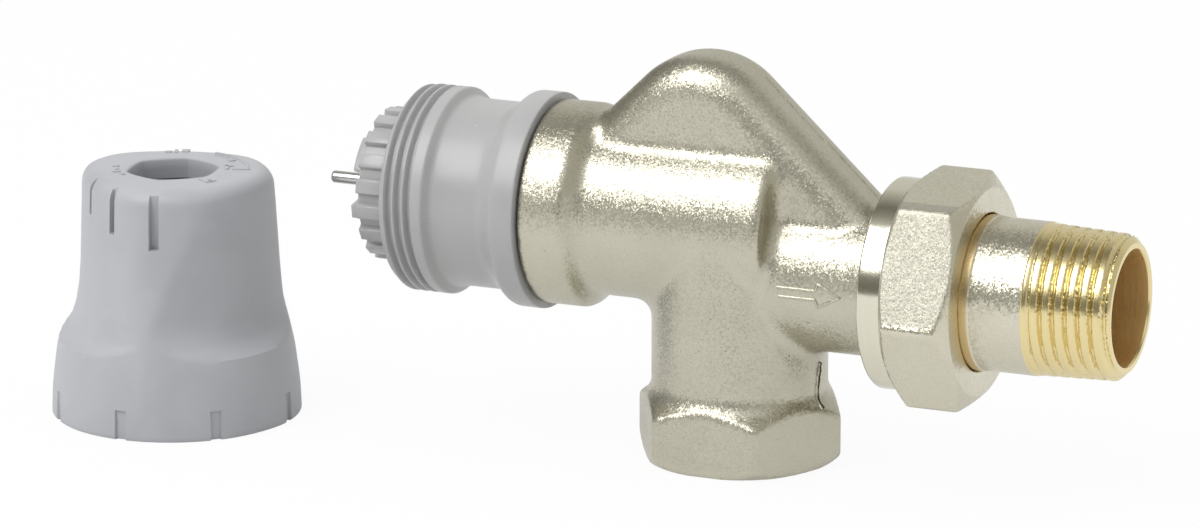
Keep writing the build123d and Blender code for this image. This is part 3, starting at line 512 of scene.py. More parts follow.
def buildBeadTree():
    # a round bead along a line, waved by noise
    tree, given = startTree("beadAlongLine", ("Bead Radius", "Wave Height", "Wave Size"))
    line = addNode(tree, "GeometryNodeMeshToCurve", None, {0: given["Geometry"]}).outputs[0]
    ring = addNode(tree, "GeometryNodeCurvePrimitiveCircle", None,
                   {"Resolution": 8, "Radius": given["Bead Radius"]})
    bead = addNode(tree, "GeometryNodeCurveToMesh", None,
                   {"Curve": line, "Profile Curve": ring.outputs[0], "Fill Caps": True}).outputs[0]
    place = addNode(tree, "GeometryNodeInputPosition").outputs[0]
    spots = addNode(tree, "ShaderNodeVectorMath", {"operation": "SCALE"},
                    {0: place, "Scale": given["Wave Size"]}).outputs[0]
    noise = addNode(tree, "ShaderNodeTexNoise", None, {"Vector": spots, "Scale": 1.0, "Detail": 2.0})
    swing = addNode(tree, "ShaderNodeVectorMath", {"operation": "SUBTRACT"},
                    {0: noise.outputs["Color"], 1: (0.5, 0.5, 0.5)}).outputs[0]
    wave = addNode(tree, "ShaderNodeVectorMath", {"operation": "SCALE"},
                   {0: swing, "Scale": given["Wave Height"]}).outputs[0]
    moved = addNode(tree, "GeometryNodeSetPosition", None, {"Geometry": bead, "Offset": wave}).outputs[0]
    return endTree(tree, moved, given["Material"])


beadTree = buildBeadTree()


def layBead(name, points, material, s, share=1.0):
    mesh = bpy.data.meshes.new(name)
    edges = [(i, i + 1) for i in range(len(points) - 1)]
    mesh.from_pydata([tuple(c * mm for c in p) for p in points], edges, [])
    piece = newObject(name, mesh)
    addGeometryNodes(piece, beadTree, {"Bead Radius": s["bead"] * share * mm, "Wave Height": s["wave"] * mm,
                                       "Wave Size": 1 / (s["waveSize"] * mm), "Material": material})
    freezeModifiers(piece)
    return piece


def along(corners, spacing):
    points = []
    for a, b in zip(corners, corners[1:]):
        a, b = Vector(a), Vector(b)
        parts = max(1, math.ceil((b - a).length / spacing))
        points += [a.lerp(b, k / parts) for k in range(parts)]
    return points + [Vector(corners[-1])]


def makeArrow(s):
    z, shaft, head = s["middleZ"], s["shaft"], s["head"]
    corners = [(s["tailX"], z + shaft), (s["neckX"], z + shaft), (s["headX"], z + head), (s["tipX"], z),
               (s["headX"], z - head), (s["neckX"], z - shaft), (s["tailX"] + s["tailSlant"], z - shaft)]
    reach = s["neckRadius"] - s["sunk"]
    points = [(p.x, -math.sqrt(reach**2 - (p.y - outletAxis) ** 2), p.y)
              for p in along(corners, s["spacing"])]
    return layBead("flowArrow", points, platedForging, s)


def makePartingLines(s):
    slope = math.tan(math.radians(s["slope"]))
    flank = [(x, y, s["apexZ"] - (x - s["apexX"]) * slope - s["sunk"])
             for x, y in zip(s["flankX"], s["flankY"])]
    return [layBead("partingUpper", along(flank[:2], s["spacing"]), platedForging, s),
            layBead("partingLower", along(flank[2:], s["spacing"]), platedForging, s)]


def makeScar(s):
    # a bead down the pipe coloured dark as painted shade of a crack, and a paler lip beside it, laid on the
    # forging's skin
    bpy.context.view_layer.update()
    pieces = []
    for number, (shift, share, material) in enumerate(((0, 1.0, crackShadeMetal),
                                                       (s["paleShift"], s["paleBead"], platedForging))):
        line = []
        for z in np.arange(s["low"], s["high"], s["spacing"]):
            turn = np.interp(z, (s["low"], s["high"]), (s["turnLow"], s["turnHigh"]))
            angle = math.radians(turn + shift)
            outward = Vector((math.cos(angle), math.sin(angle), 0))
            start = outward * s["outside"] * mm + Vector((0, 0, z * mm))
            line.append(body.ray_cast(start, -outward)[1] / mm - outward * s["sunk"])
        pieces.append(layBead(f"partingScar{number}", line, material, s, share))
    return pieces


for piece in [makeArrow(arrow)] + makePartingLines(parting) + makeScar(scar):
    piece.data.shade_smooth()
    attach(piece, "body")
print("arrow and parting lines done")


# Head sleeve: moulded M30 x 1.5 thread, waist and flared foot

sleeve = {"frontX": -50.0, "bore": 12.05, "mouthBevel": 0.3, "radius": 15.0, "threadBevel": 0.75,
          "threadEnd": -43.2, "step": 0.9, "stepRadius": 13.75, "waistX": -40.0, "waist": 13.55,
          "flareX": -34.4, "flangeX": -32.2, "flange": 15.6, "backX": -28.6, "pitch": 1.5,
          "threadDepth": 0.95, "grooveStart": -50.225, "grooveEnd": -44.55, "rootOver": 13.8}


def makeSleeve(s):
    outline = roundedOutline([
        (s["frontX"], s["bore"] + s["mouthBevel"], 0.2),
        (s["frontX"], s["radius"] - s["threadBevel"], 0.2),
        (s["frontX"] + s["threadBevel"], s["radius"], 0.15),
        (s["threadEnd"], s["radius"], 0.45),
        (s["threadEnd"] + s["step"], s["stepRadius"], 0.9),
        (s["waistX"], s["waist"], 2.0),
        (s["flareX"], s["waist"], 3.0),
        (s["flangeX"], s["flange"], 1.3),
        (s["backX"], s["flange"], 0.25),
        (s["backX"], s["bore"], 0.1),
        (s["frontX"] + s["mouthBevel"], s["bore"], 0.1),
    ], 1.2, (s["frontX"], s["threadEnd"] + 0.3, 14.0, 0.1))
    return turnPiece("headSleeve", outline, sleevePlastic, 144,
                     Pitch=s["pitch"], Thread_Depth=s["threadDepth"], Thread_Start=s["grooveStart"],
                     Thread_End=s["grooveEnd"], Start_Fade=1.5, End_Fade=0.45,
                     Outer_Radius_Over=s["rootOver"], Crest_Share=0.12, Root_Share=0.2,
                     Uneven_Height=0.03, Uneven_Size=7.0)


headSleeve = makeSleeve(sleeve)
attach(headSleeve, "body")
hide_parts("head_sleeve")
print("sleeve done", len(headSleeve.data.polygons))


# Union nut: forged hexagon with turned collar

# turn, brightFrom and brightTo are degrees
nut = {"backX": 23.3, "hexBackX": 26.7, "frontX": 37.0, "collar": 15.0, "hole": 11.12, "bore": 13.26,
       "lipX": 34.6, "flats": 30.0, "corner": 17.47, "backBevel": 1.3, "frontBevel": 1.75,
       "frontRadius": 14.7, "turn": 22.1, "softness": 0.5, "brightFrom": 30, "brightTo": 95}


def makeNut(s):
    outline = roundedOutline([
        (s["backX"], s["bore"], 0.3),
        (s["backX"], s["collar"], 0.35),
        (s["hexBackX"], s["collar"], 0.15),
        (s["hexBackX"] + s["backBevel"], s["corner"], 0.9),
        (s["frontX"] - s["frontBevel"], s["corner"], 1.2),
        (s["frontX"], s["frontRadius"], 0.5),
        (s["frontX"], s["hole"], 0.35),
        (s["lipX"], s["hole"], 0.1),
        (s["lipX"], s["bore"], 0.1),
    ], 0.6)
    return turnPiece("unionNut", outline, platedFlats, 240, 45, Axis_Height=outletAxis,
                     Across_Flats=s["flats"], Flats_Turn=s["turn"] / 360, Edge_Softness=s["softness"],
                     Outer_Radius_Over=12.0)


unionNut = makeNut(nut)
unionNut.data.materials.append(platedTurned)
unionNut.data.materials.append(platedPipe)
for face in unionNut.data.polygons:
    middle = face.center
    if middle.x < (nut["hexBackX"] - 0.05) * mm:
        face.material_index = 1
    else:
        angle = math.degrees(math.atan2(-middle.y, middle.z - outletAxis * mm)) % 360
        # the end and the flats turned away from the light take the paler, smoother tube plating, and the
        # flats facing the lamp take the hammered one: lit and shaded copies of one plating, so the colour
        # difference between them is painted light and shade
        if face.normal.x > 0.35 or not nut["brightFrom"] < angle < nut["brightTo"]:
            face.material_index = 2
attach(unionNut, "nut")
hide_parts("union_nut")
print("nut done", len(unionNut.data.polygons))


# Union tail: bare band in the nut, plated tube, bare taper thread

tail = {"coneX": 29.7, "coneSmall": 9.2, "collarX": 33.2, "coneLarge": 11.98, "collar": 12.6,
        "collarEnd": 34.5, "band": 11.0, "bandEnd": 38.1, "tube": 10.83, "threadX": 45.9, "start": 10.7,
        "endX": 58.4, "end": 10.28, "chamfer": 1.15, "bore": 8.2, "boreBevel": 0.3, "pitch": 1.814,
        "threadDepth": 0.56, "grooveStart": 46.3, "grooveEnd": 59.4, "rootOver": 9.3, "tearHeight": 0.9,
        "tearSize": 0.33}


def makeTail(s):
    outline = roundedOutline([
        (s["coneX"], s["bore"], 0.1),
        (s["coneX"], s["coneSmall"], 0.3),
        (s["collarX"], s["coneLarge"], 0.1),
        (s["collarX"], s["collar"], 0.3),
        (s["collarEnd"], s["collar"], 0.3),
        (s["collarEnd"], s["band"], 0.1),
        (s["bandEnd"], s["band"], 0.15),
        (s["bandEnd"] + 0.25, s["tube"], 0.1),
        (s["threadX"], s["tube"], 0.06),
        (s["threadX"] + 0.12, s["start"], 0.05),
        (s["endX"] - s["chamfer"], s["end"], 0.2),
        (s["endX"], s["end"] - s["chamfer"], 0.2),
        (s["endX"], s["bore"] + s["boreBevel"] / 2, 0.1),
        (s["endX"] - s["boreBevel"], s["bore"], 0.1),
    ], 0.9, (s["threadX"], s["endX"] - 0.2, 9.0, 0.13))
    return turnPiece("unionTail", outline, platedPipe, 360, 50, Axis_Height=outletAxis, Pitch=s["pitch"],
                     Thread_Depth=s["threadDepth"], Thread_Start=s["grooveStart"], Thread_End=s["grooveEnd"],
                     Start_Fade=1.0, End_Fade=0.6, Outer_Radius_Over=s["rootOver"], Crest_Share=0.4,
                     Root_Share=0.0, Groove_Power=1.1, Tear_Height=s["tearHeight"], Tear_Size=s["tearSize"])


unionTail = makeTail(tail)
for material in (brassThread, brassBand, brassBore):
    unionTail.data.materials.append(material)
for face in unionTail.data.polygons:
    middle = face.center
    reach = math.hypot(middle.y, middle.z - outletAxis * mm)
    if reach < (tail["bore"] + 0.03) * mm:
        face.material_index = 3
    elif middle.x > tail["threadX"] * mm:
        face.material_index = 1
    elif middle.x < (tail["bandEnd"] + 0.1) * mm:
        face.material_index = 2
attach(unionTail, "tail")
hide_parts("tailpiece")
print("tail done", len(unionTail.data.polygons))


# Setting crown: serrated ring with teeth, curved front walls and a marker

crown = {"frontX": -55.2, "backX": -50.4, "root": 10.3, "tip": 11.1, "teeth": 18, "toothFoot": 1.2,
         "toothCrest": 1.0, "toothSunk": 0.4, "hole": 5.5, "skirtX": -43.1, "skirt": 9.0, "skirtBore": 7.7,
         "webX": -49.1, "wallOuter": 9.4, "wallInner": 8.0, "wallHeight": 1.4, "wallSunk": 0.6, "walls": 3,
         "wallSweep": 34.0, "wallFirst": 34.0, "markTurn": 100.0, "markReach": 0.75, "markWidth": 1.0,
         "edge": 0.14, "wallEdge": 0.16}


def buildSpinTree():
    # repeats a part round an axis along X
    tree, given = startTree("repeatRoundAxis", ("First Turn", "Axis Height"), ("Count",))
    centre = addNode(tree, "ShaderNodeCombineXYZ", None, {2: given["Axis Height"]}).outputs[0]
    points = addNode(tree, "GeometryNodePoints", None, {"Count": given["Count"], "Position": centre})
    index = addNode(tree, "GeometryNodeInputIndex").outputs[0]
    step = addNode(tree, "ShaderNodeMath", {"operation": "DIVIDE"}, {0: 2 * math.pi, 1: given["Count"]})
    turn = addNode(tree, "ShaderNodeMath", {"operation": "MULTIPLY_ADD"},
                   {0: index, 1: step.outputs[0], 2: given["First Turn"]}).outputs[0]
    turned = addNode(tree, "ShaderNodeCombineXYZ", None, {0: turn}).outputs[0]
    placed = addNode(tree, "GeometryNodeInstanceOnPoints", None,
                     {"Points": points.outputs[0], "Instance": given["Geometry"], "Rotation": turned})
    return endTree(tree, placed.outputs[0], given["Material"])


spinTree = buildSpinTree()


def prism(name, corners, x0, x1, bevel):
    # moulded solid with a (y, z) outline between two places along X, its edges rounded
    shape = bmesh.new()
    low = [shape.verts.new((x0 * mm, y * mm, z * mm)) for y, z in corners]
    high = [shape.verts.new((x1 * mm, y * mm, z * mm)) for y, z in corners]
    shape.faces.new(low)
    shape.faces.new(high[::-1])
    for i in range(len(corners)):
        k = (i + 1) % len(corners)
        shape.faces.new((low[i], high[i], high[k], low[k]))
    bmesh.ops.recalc_face_normals(shape, faces=shape.faces)
    sharp = [edge for edge in shape.edges if edge.calc_face_angle(0) > 0.5]
    bmesh.ops.bevel(shape, geom=sharp, offset=bevel * mm, segments=2, affect="EDGES", profile=0.5)
    mesh = bpy.data.meshes.new(name)
    shape.to_mesh(mesh)
    shape.free()
    mesh.shade_smooth()
    return newObject(name, mesh)


def barCorners(foot, crest, low, high):
    return [(-foot, low), (foot, low), (crest, high), (-crest, high)]


def arcCorners(inner, outer, sweep, pieces=14):
    half = math.radians(sweep / 2)
    turns = [half * (2 * k / pieces - 1) for k in range(pieces + 1)]
    return ([(outer * math.sin(t), outer * math.cos(t)) for t in turns] +
            [(inner * math.sin(t), inner * math.cos(t)) for t in reversed(turns)])


def spin(piece, count, first):
    addGeometryNodes(piece, spinTree, {"Count": count, "First Turn": math.radians(first),
                                       "Axis Height": headAxis * mm, "Material": crownPlastic})
    freezeModifiers(piece)


def makeCrown(s):
    ring = turnPiece("crownRing", roundedOutline([
        (s["frontX"], s["hole"], 0.1),
        (s["frontX"], s["root"], 0.3),
        (s["backX"], s["root"], 0.15),
        (s["backX"], s["skirt"], 0.1),
        (s["skirtX"], s["skirt"], 0.2),
        (s["skirtX"], s["skirtBore"], 0.1),
        (s["webX"], s["skirtBore"], 0.1),
        (s["webX"], s["hole"], 0.1),
    ], 1.2), crownPlastic, 144)
    sunkX = s["frontX"] + s["wallSunk"]
    toothShape = barCorners(s["toothFoot"], s["toothCrest"], s["root"] - s["toothSunk"], s["tip"])
    markShape = barCorners(s["markWidth"], s["markWidth"], s["wallOuter"] - 1, s["tip"] - 0.1)
    tooth = prism("crownTooth", toothShape, s["frontX"] - 0.02, s["backX"] + 0.02, s["edge"])
    wall = prism("crownWall", arcCorners(s["wallInner"], s["wallOuter"], s["wallSweep"]),
                 s["frontX"] - s["wallHeight"], sunkX, s["wallEdge"])
    marker = prism("crownMarker", markShape, s["frontX"] - s["markReach"], sunkX, s["edge"])
    spin(tooth, s["teeth"], 0)
    spin(wall, s["walls"], s["wallFirst"] + s["wallSweep"] / 2)
    spin(marker, 1, s["markTurn"])
    piece = joinMeshes("settingCrown", [ring, tooth, wall, marker], [crownPlastic])
    piece.data.set_sharp_from_angle(angle=math.radians(40))
    return piece


settingCrown = makeCrown(crown)
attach(settingCrown, "preset")
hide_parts("preset_ring")
print("crown done", len(settingCrown.data.polygons))


# Pin: drawn wire with a domed tip

pin = {"tipX": -64.1, "backX": -44.9, "radius": 0.9}


def makePin(s):
    return turnPiece("drawnPin", roundedOutline([
        (s["tipX"], 0.0, 0),
        (s["tipX"], s["radius"], s["radius"] * 0.85),
        (s["backX"], s["radius"], 0.1),
        (s["backX"], 0.0, 0),
    ], 1.5), drawnSteel, 40)


drawnPin = makePin(pin)
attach(drawnPin, "stem")
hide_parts("stem_pin")
print("pin done", len(drawnPin.data.polygons))


# Protective cap: three finger scoops flow softly into a turned shell

cap = {"x": -84.45, "y": -11.1, "height": 36.2, "foot": 18.25, "rimRounding": 2.4, "topWall": 3.0,
       "shellZ": (0, 4, 10, 17, 36), "shell": (18.25, 18.1, 17.35, 15.75, 14.49),
       "scoops": 3, "scoopFirst": -12.0, "scoopOffset": 11.0, "ledgeZ": 13.5, "ledgeSoftness": 0.3,
       "softness": 0.9, "scoopZ": (0, 11.2, 11.5, 12.0, 13.2, 15.5, 18.3, 22.0, 36.8),
       "scoop": (29.2, 28.6, 28.2, 26.9, 25.6, 24.8, 24.3, 24.0, 23.45),
       # the front scoop leans and runs out upwards, with a crisper edge
       "frontSoftness": 0.35, "frontZ": (0, 11.2, 11.5, 12.0, 13.2, 15.0, 16.6, 22.0, 25.0, 29.4, 36.8),
       "front": (29.2, 28.6, 28.2, 26.8, 25.4, 24.5, 24.14, 24.06, 24.25, 24.45, 24.9),
       "leanZ": (0, 17, 29, 37), "lean": (-10, -10, -1, 0),
       "slotAngles": (-134.0, -104.3, -74.0), "slotLengths": (5.4, 6.9, 8.3), "slotWidths": (0.8, 1.1, 1.3),
       "slotDepth": 1.25, "slotTop": 36.0, "slotRadius": 14.6, "slotFloorZ": 28.0,
       "notches": 8, "notchFirst": 0.4, "notchWidth": 1.6, "notchHeight": 4.3, "notchDepth": 0.5,
       "edge": 0.07, "columns": 300, "columnGap": 0.006, "rowStep": 0.55,
       "holeCorner": 7.3, "holeTurn": 38.0, "room": 10.4, "ringRoom": 12.0, "ringRoomTop": 17.0,
       "threadRadius": 15.05, "threadMinor": 14.25, "threadTop": 9.5, "threadFoot": 0.9, "pitch": 1.5}


def smoothLess(a, b, width):
    share = np.clip(0.5 + 0.5 * (b - a) / width, 0, 1)
    return b + (a - b) * share - width * share * (1 - share)


def curveThrough(corners, heights):
    # radius at each height of a softly bent line through (height, radius) corners
    zs, rs = zip(*corners)
    fine = np.linspace(zs[0], zs[-1], 400)
    plain = np.interp(fine, zs, rs)
    window = np.hanning(61)
    padded = np.concatenate([plain[0] + (plain[1] - plain[0]) * np.arange(-30, 0), plain,
                             plain[-1] + (plain[-1] - plain[-2]) * np.arange(1, 31)])
    return np.interp(heights, fine, np.convolve(padded, window / window.sum(), "valid"))


def capWall(s, heights, angles):
    # outer radius, as a table of heights by angles
    shell = curveThrough(tuple(zip(s["shellZ"], s["shell"])), heights)[:, None]
    frontScoop = np.interp(heights, s["frontZ"], s["front"])[:, None]
    otherScoop = np.interp(heights, s["scoopZ"], s["scoop"])[:, None]
    lean = np.radians(np.interp(heights, s["leanZ"], s["lean"]))[:, None]
    wall = shell + 0 * angles[None, :]
    for k in range(s["scoops"]):
        scoop = otherScoop if k else frontScoop
        turn = angles[None, :] - (0 if k else lean) - math.radians(s["scoopFirst"] + 360 * k / s["scoops"])
        side = s["scoopOffset"] * np.sin(turn)
        reach = np.sqrt(np.maximum(scoop**2 - side**2, 0)) - s["scoopOffset"] * np.cos(turn)
        above = s["softness"] if k else s["frontSoftness"]
        wall = smoothLess(wall, reach, np.where(heights < s["ledgeZ"], s["ledgeSoftness"], above)[:, None])
    return wall


def capCuts(s):
    # slots and foot notches: (direction in degrees, width, radius, lowest, highest, floor)
    slots = [(angle, width, s["slotRadius"], s["slotTop"] - length, s["height"] + 1, None)
             for angle, length, width in zip(s["slotAngles"], s["slotLengths"], s["slotWidths"])]
    notches = [(s["notchFirst"] + 360 * k / s["notches"], s["notchWidth"], s["foot"], -5, s["notchHeight"],
                s["foot"] - s["notchDepth"]) for k in range(s["notches"])]
    return slots + notches


def capColumns(s):
    edges = [math.radians(angle) + (side * width / 2 + push) / radius
             for angle, width, radius, *_ in capCuts(s)
             for side in (-1, 1) for push in (-s["edge"], s["edge"])]
    edges = np.sort(np.mod(edges, 2 * math.pi))
    even = np.arange(s["columns"]) * 2 * math.pi / s["columns"]
    clear = [a for a in even if np.min(np.abs(edges - a)) > s["columnGap"]]
    return np.sort(np.concatenate([edges, clear]))


def stepBetween(values, low, high, soft):
    rise = np.clip((values - low + soft) / (2 * soft), 0, 1)
    fall = np.clip((high + soft - values) / (2 * soft), 0, 1)
    return rise * fall


def makeCap(s):
    angles = capColumns(s)
    top = s["height"]
    wallTop = top - s["rimRounding"]
    marks = [s["slotTop"] - length for length in s["slotLengths"]] + [s["notchHeight"]]
    heights = [0.3, 0.9] + list(np.arange(1.5, wallTop, s["rowStep"]))
    heights = [z for z in heights if min(abs(z - m) for m in marks) > 0.2]
    heights = np.array(sorted(heights + [m + d for m in marks for d in (-s["edge"], s["edge"])]))
    bends = np.linspace(0, math.pi / 2, 9)
    rimHeights = np.array([wallTop + s["rimRounding"] * math.sin(a) for a in bends])
    rimIn = np.array([s["rimRounding"] * (1 - math.cos(a)) for a in bends])[:, None]
    zs = np.concatenate([heights, rimHeights])
    radii = np.concatenate([capWall(s, heights, angles), capWall(s, rimHeights, angles) - rimIn])

    # notches are cut to a floor of their own, slots to one under the wall below them
    for angle, width, radius, low, high, floor in capCuts(s):
        turn = np.mod(angles - math.radians(angle) + math.pi, 2 * math.pi) - math.pi
        across = stepBetween(turn * radius, -width / 2, width / 2, s["edge"])[None, :]
        cut = across * stepBetween(zs, low, high, s["edge"])[:, None]
        if floor is None:
            level, column = np.argmin(np.abs(zs - s["slotFloorZ"])), np.argmin(np.abs(turn))
            floor = radii[level, column] - s["slotDepth"]
        radii = radii * (1 - cut) + np.minimum(radii, floor) * cut

    # round hexagon hole, with its edge broken
    inSixth = np.mod(angles - math.radians(s["holeTurn"]), math.pi / 3) - math.pi / 6
    flats = s["holeCorner"] * math.cos(math.pi / 6) / np.cos(inSixth)
    hole = smoothLess(flats, 0 * flats + s["holeCorner"] - 0.5, 1.2)[None, :]
    lastRim = radii[-1:, :]
    rows = list(zip(zs, radii))
    rows += [(top, lastRim + (hole + 0.3 - lastRim) * share) for share in (0.25, 0.5, 0.75, 1.0)]
    roomTop = top - s["topWall"]
    rows += [(top - 0.1, hole + 0.1), (top - 0.3, hole), (top - 1.5, hole), (roomTop, hole)]

    # the room inside, down to the thread
    rows += [(z, r + 0 * angles) for z, r in (
        (roomTop, s["room"] - 1.5), (roomTop - 0.4, s["room"] - 0.45), (roomTop - 1.5, s["room"]),
        (24.0, s["room"]), (s["ringRoomTop"] + 1.0, s["room"]), (s["ringRoomTop"], s["ringRoom"]),
        (13.5, s["ringRoom"]), (s["threadTop"] + 0.9, s["ringRoom"]),
        (s["threadTop"] + 0.3, s["threadMinor"]))]
    turn = angles / (2 * math.pi)
    for z in np.arange(s["threadTop"], s["threadFoot"], -0.15):
        wave = np.abs(2 * np.mod(z / s["pitch"] - turn, 1) - 1)
        fade = min(1, (s["threadTop"] - z) / 0.8, (z - s["threadFoot"]) / 0.5)
        groove = np.clip((wave - 0.15) / 0.7, 0, 1) * fade * (s["threadRadius"] - s["threadMinor"])
        rows.append((z, s["threadMinor"] + groove))
    rows += [(z, s["threadMinor"] + bevel + 0 * angles)
             for z, bevel in ((0.75, 0.25), (0.06, 0.95), (0.0, 1.05))]
    rows += [(z, radii[0] - inwards) for z, inwards in ((0.0, 0.9), (0.0, 0.3), (0.09, 0.08))]

    points = []
    for z, r in rows:
        r = np.broadcast_to(np.asarray(r).reshape(-1), angles.shape)
        xs, ys = s["x"] + r * np.cos(angles), s["y"] + r * np.sin(angles)
        points += list(zip(xs, ys, np.full(angles.shape, z)))
    size = len(angles)
    starts = [i * size for i in range(len(rows))]
    faces = [(a + k, a + (k + 1) % size, b + (k + 1) % size, b + k)
             for a, b in zip(starts, starts[1:] + starts[:1]) for k in range(size)]
    mesh = bpy.data.meshes.new("guardCap")
    mesh.from_pydata((np.array(points) * mm).tolist(), [], faces)
    piece = newObject("guardCap", mesh)
    closeMesh(mesh, 40)
    return piece


# raised marks round the hole: (first angle, last angle, inner radius, outer radius) in degrees and mm
capMarks = ((-35, -29, 7.8, 10.2), (-31, -25, 9.2, 10.2), (18, 22, 8.6, 11.2), (22, 82, 10.5, 11.0),
            (50, 78, 9.6, 9.95), (18, 34, 7.6, 8.1), (30, 35, 7.6, 8.8), (50, 54, 8.9, 9.8),
            (104, 110, 9.8, 11.2), (113, 116, 9.4, 11.0), (118, 124, 9.6, 10.3), (192, 197, 8.0, 9.0),
            (202, 210, 7.9, 8.4), (216, 220, 7.7, 8.9), (226, 233, 7.6, 8.2))
capMark = {"sunk": 0.35, "raised": 0.17, "edge": 0.07}


def makeCapMarks(s):
    pieces = []
    for number, (first, last, inner, outer) in enumerate(capMarks):
        corners = arcCorners(inner, outer, last - first, 10 if last - first > 20 else 4)
        mark = prism(f"capMark{number}", corners, -capMark["sunk"], capMark["raised"], capMark["edge"])
        middle = math.radians((first + last) / 2)
        # the prism's axis X becomes up, its Z the direction from the cap's axis
        out = Vector((math.cos(middle), math.sin(middle), 0))
        up = Vector((0, 0, 1))
        side = out.cross(up)
        turn = Matrix((up, side, out)).transposed().to_4x4()
        mark.data.transform(Matrix.Translation((s["x"] * mm, s["y"] * mm, s["height"] * mm)) @ turn)
        pieces.append(mark)
    return pieces


guardCap = joinMeshes("guardCap", [makeCap(cap)] + makeCapMarks(cap), [capPlastic])
guardCap.data.set_sharp_from_angle(angle=math.radians(40))
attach(guardCap, "body")
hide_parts("protective_cap")
print("cap done", len(guardCap.data.polygons))


# Return spring: the CAD coil as it is, closed and given drawn steel


def makeSpring():
    piece = newObject("coilSpring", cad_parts["return_spring"].data.copy())
    closeMesh(piece.data)
    piece.data.materials.clear()
    piece.data.materials.append(drawnSteel)
    return piece


coilSpring = makeSpring()
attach(coilSpring, "preset")
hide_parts("return_spring")
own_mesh(coilSpring)
print("spring done", len(coilSpring.data.polygons))


# Materials of the CAD nodes that keep their own shape

nodeMaterials = {
    "insert_housing": brassInner, "preset_tube": brassInner, "gland_nut": brassInner,
    "plug_carrier": brassInner, "plug_nut": brassInner,
    "housing_oring": sealRubber, "tube_oring": sealRubber, "gland_oring": sealRubber, "plug_disc": sealRubber,
    "throttle_sleeve": insertPlastic, "gland_washer": insertPlastic, "spring_guide": insertPlastic,
    "spindle": drawnSteel, "spindle_clip": drawnSteel,
}
for name, material in nodeMaterials.items():
    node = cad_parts[name]
    for place in node.material_slots:
        place.material = material
print("materials on CAD nodes")


# Floor, light and camera

def makeStage(reach=4.0, seenShare=0.94, mirroredShare=0.5):
    mesh = bpy.data.meshes.new("studioFloor")
    corners = [(-reach, -reach, 0), (reach, -reach, 0), (reach, reach, 0), (-reach, reach, 0)]
    mesh.from_pydata(corners, [], [(0, 1, 2, 3)])
    floor = newObject("studioFloor", mesh)
    material, tree, _ = startMaterial("paleStudioPaper")
    rays = addNode(tree, "ShaderNodeLightPath").outputs
    paper = addNode(tree, "ShaderNodeBsdfDiffuse", None, {"Color": (0.75, 0.75, 0.75, 1)})
    white = addNode(tree, "ShaderNodeEmission", None, {"Color": (1, 1, 1, 1), "Strength": 1.0})
    pale = addNode(tree, "ShaderNodeMath", {"operation": "MULTIPLY"},
                   {0: rays["Is Camera Ray"], 1: seenShare}).outputs[0]
    share = addNode(tree, "ShaderNodeMath", {"operation": "MULTIPLY_ADD"},
                    {0: rays["Is Glossy Ray"], 1: mirroredShare, 2: pale}).outputs[0]
    mixed = addNode(tree, "ShaderNodeMixShader", None, {0: share, 1: paper.outputs[0], 2: white.outputs[0]})
    finishMaterial(tree, mixed)
    mesh.materials.append(material)


# What polished metal sees of the studio, by the angle from the back wall over the top to the front
boxBands = ((0.0, "#DADAD8"), (0.11, "#D6D5D0"), (0.165, "#B4B2AC"), (0.215, "#74726D"), (0.25, "#92908B"),
            (0.285, "#C4C3BE"), (0.32, "#F4F4F4"), (0.4, "#F4F4F4"), (0.435, "#84827B"), (0.475, "#77756E"),
            (0.51, "#96948C"), (0.54, "#BDBBB3"), (0.6, "#CCCAC4"), (0.75, "#D0D0CC"), (1.0, "#DADAD8"))
# and what it sees beyond the left and right ends of the softbox
leftBands = ((0.0, "#BAB8B1"), (0.06, "#77756F"), (0.1, "#6E6C66"), (0.18, "#8E8C85"), (0.4, "#96948D"),
             (0.5, "#A3A19A"), (0.6, "#C4C2BB"), (0.9, "#D2D1CB"), (0.96, "#CFCEC8"), (1.0, "#BAB8B1"))
rightBands = ((0.0, "#BAB8B1"), (0.07, "#C2C0B9"), (0.18, "#CAC8C1"), (0.4, "#C6C4BD"), (0.46, "#BCBAB3"),
              (0.51, "#B2B0A9"), (0.56, "#BEBCB5"), (0.62, "#BCBAB3"), (0.75, "#CBC9C3"), (0.86, "#C0BEB7"),
              (0.94, "#A3A19A"), (1.0, "#BAB8B1"))


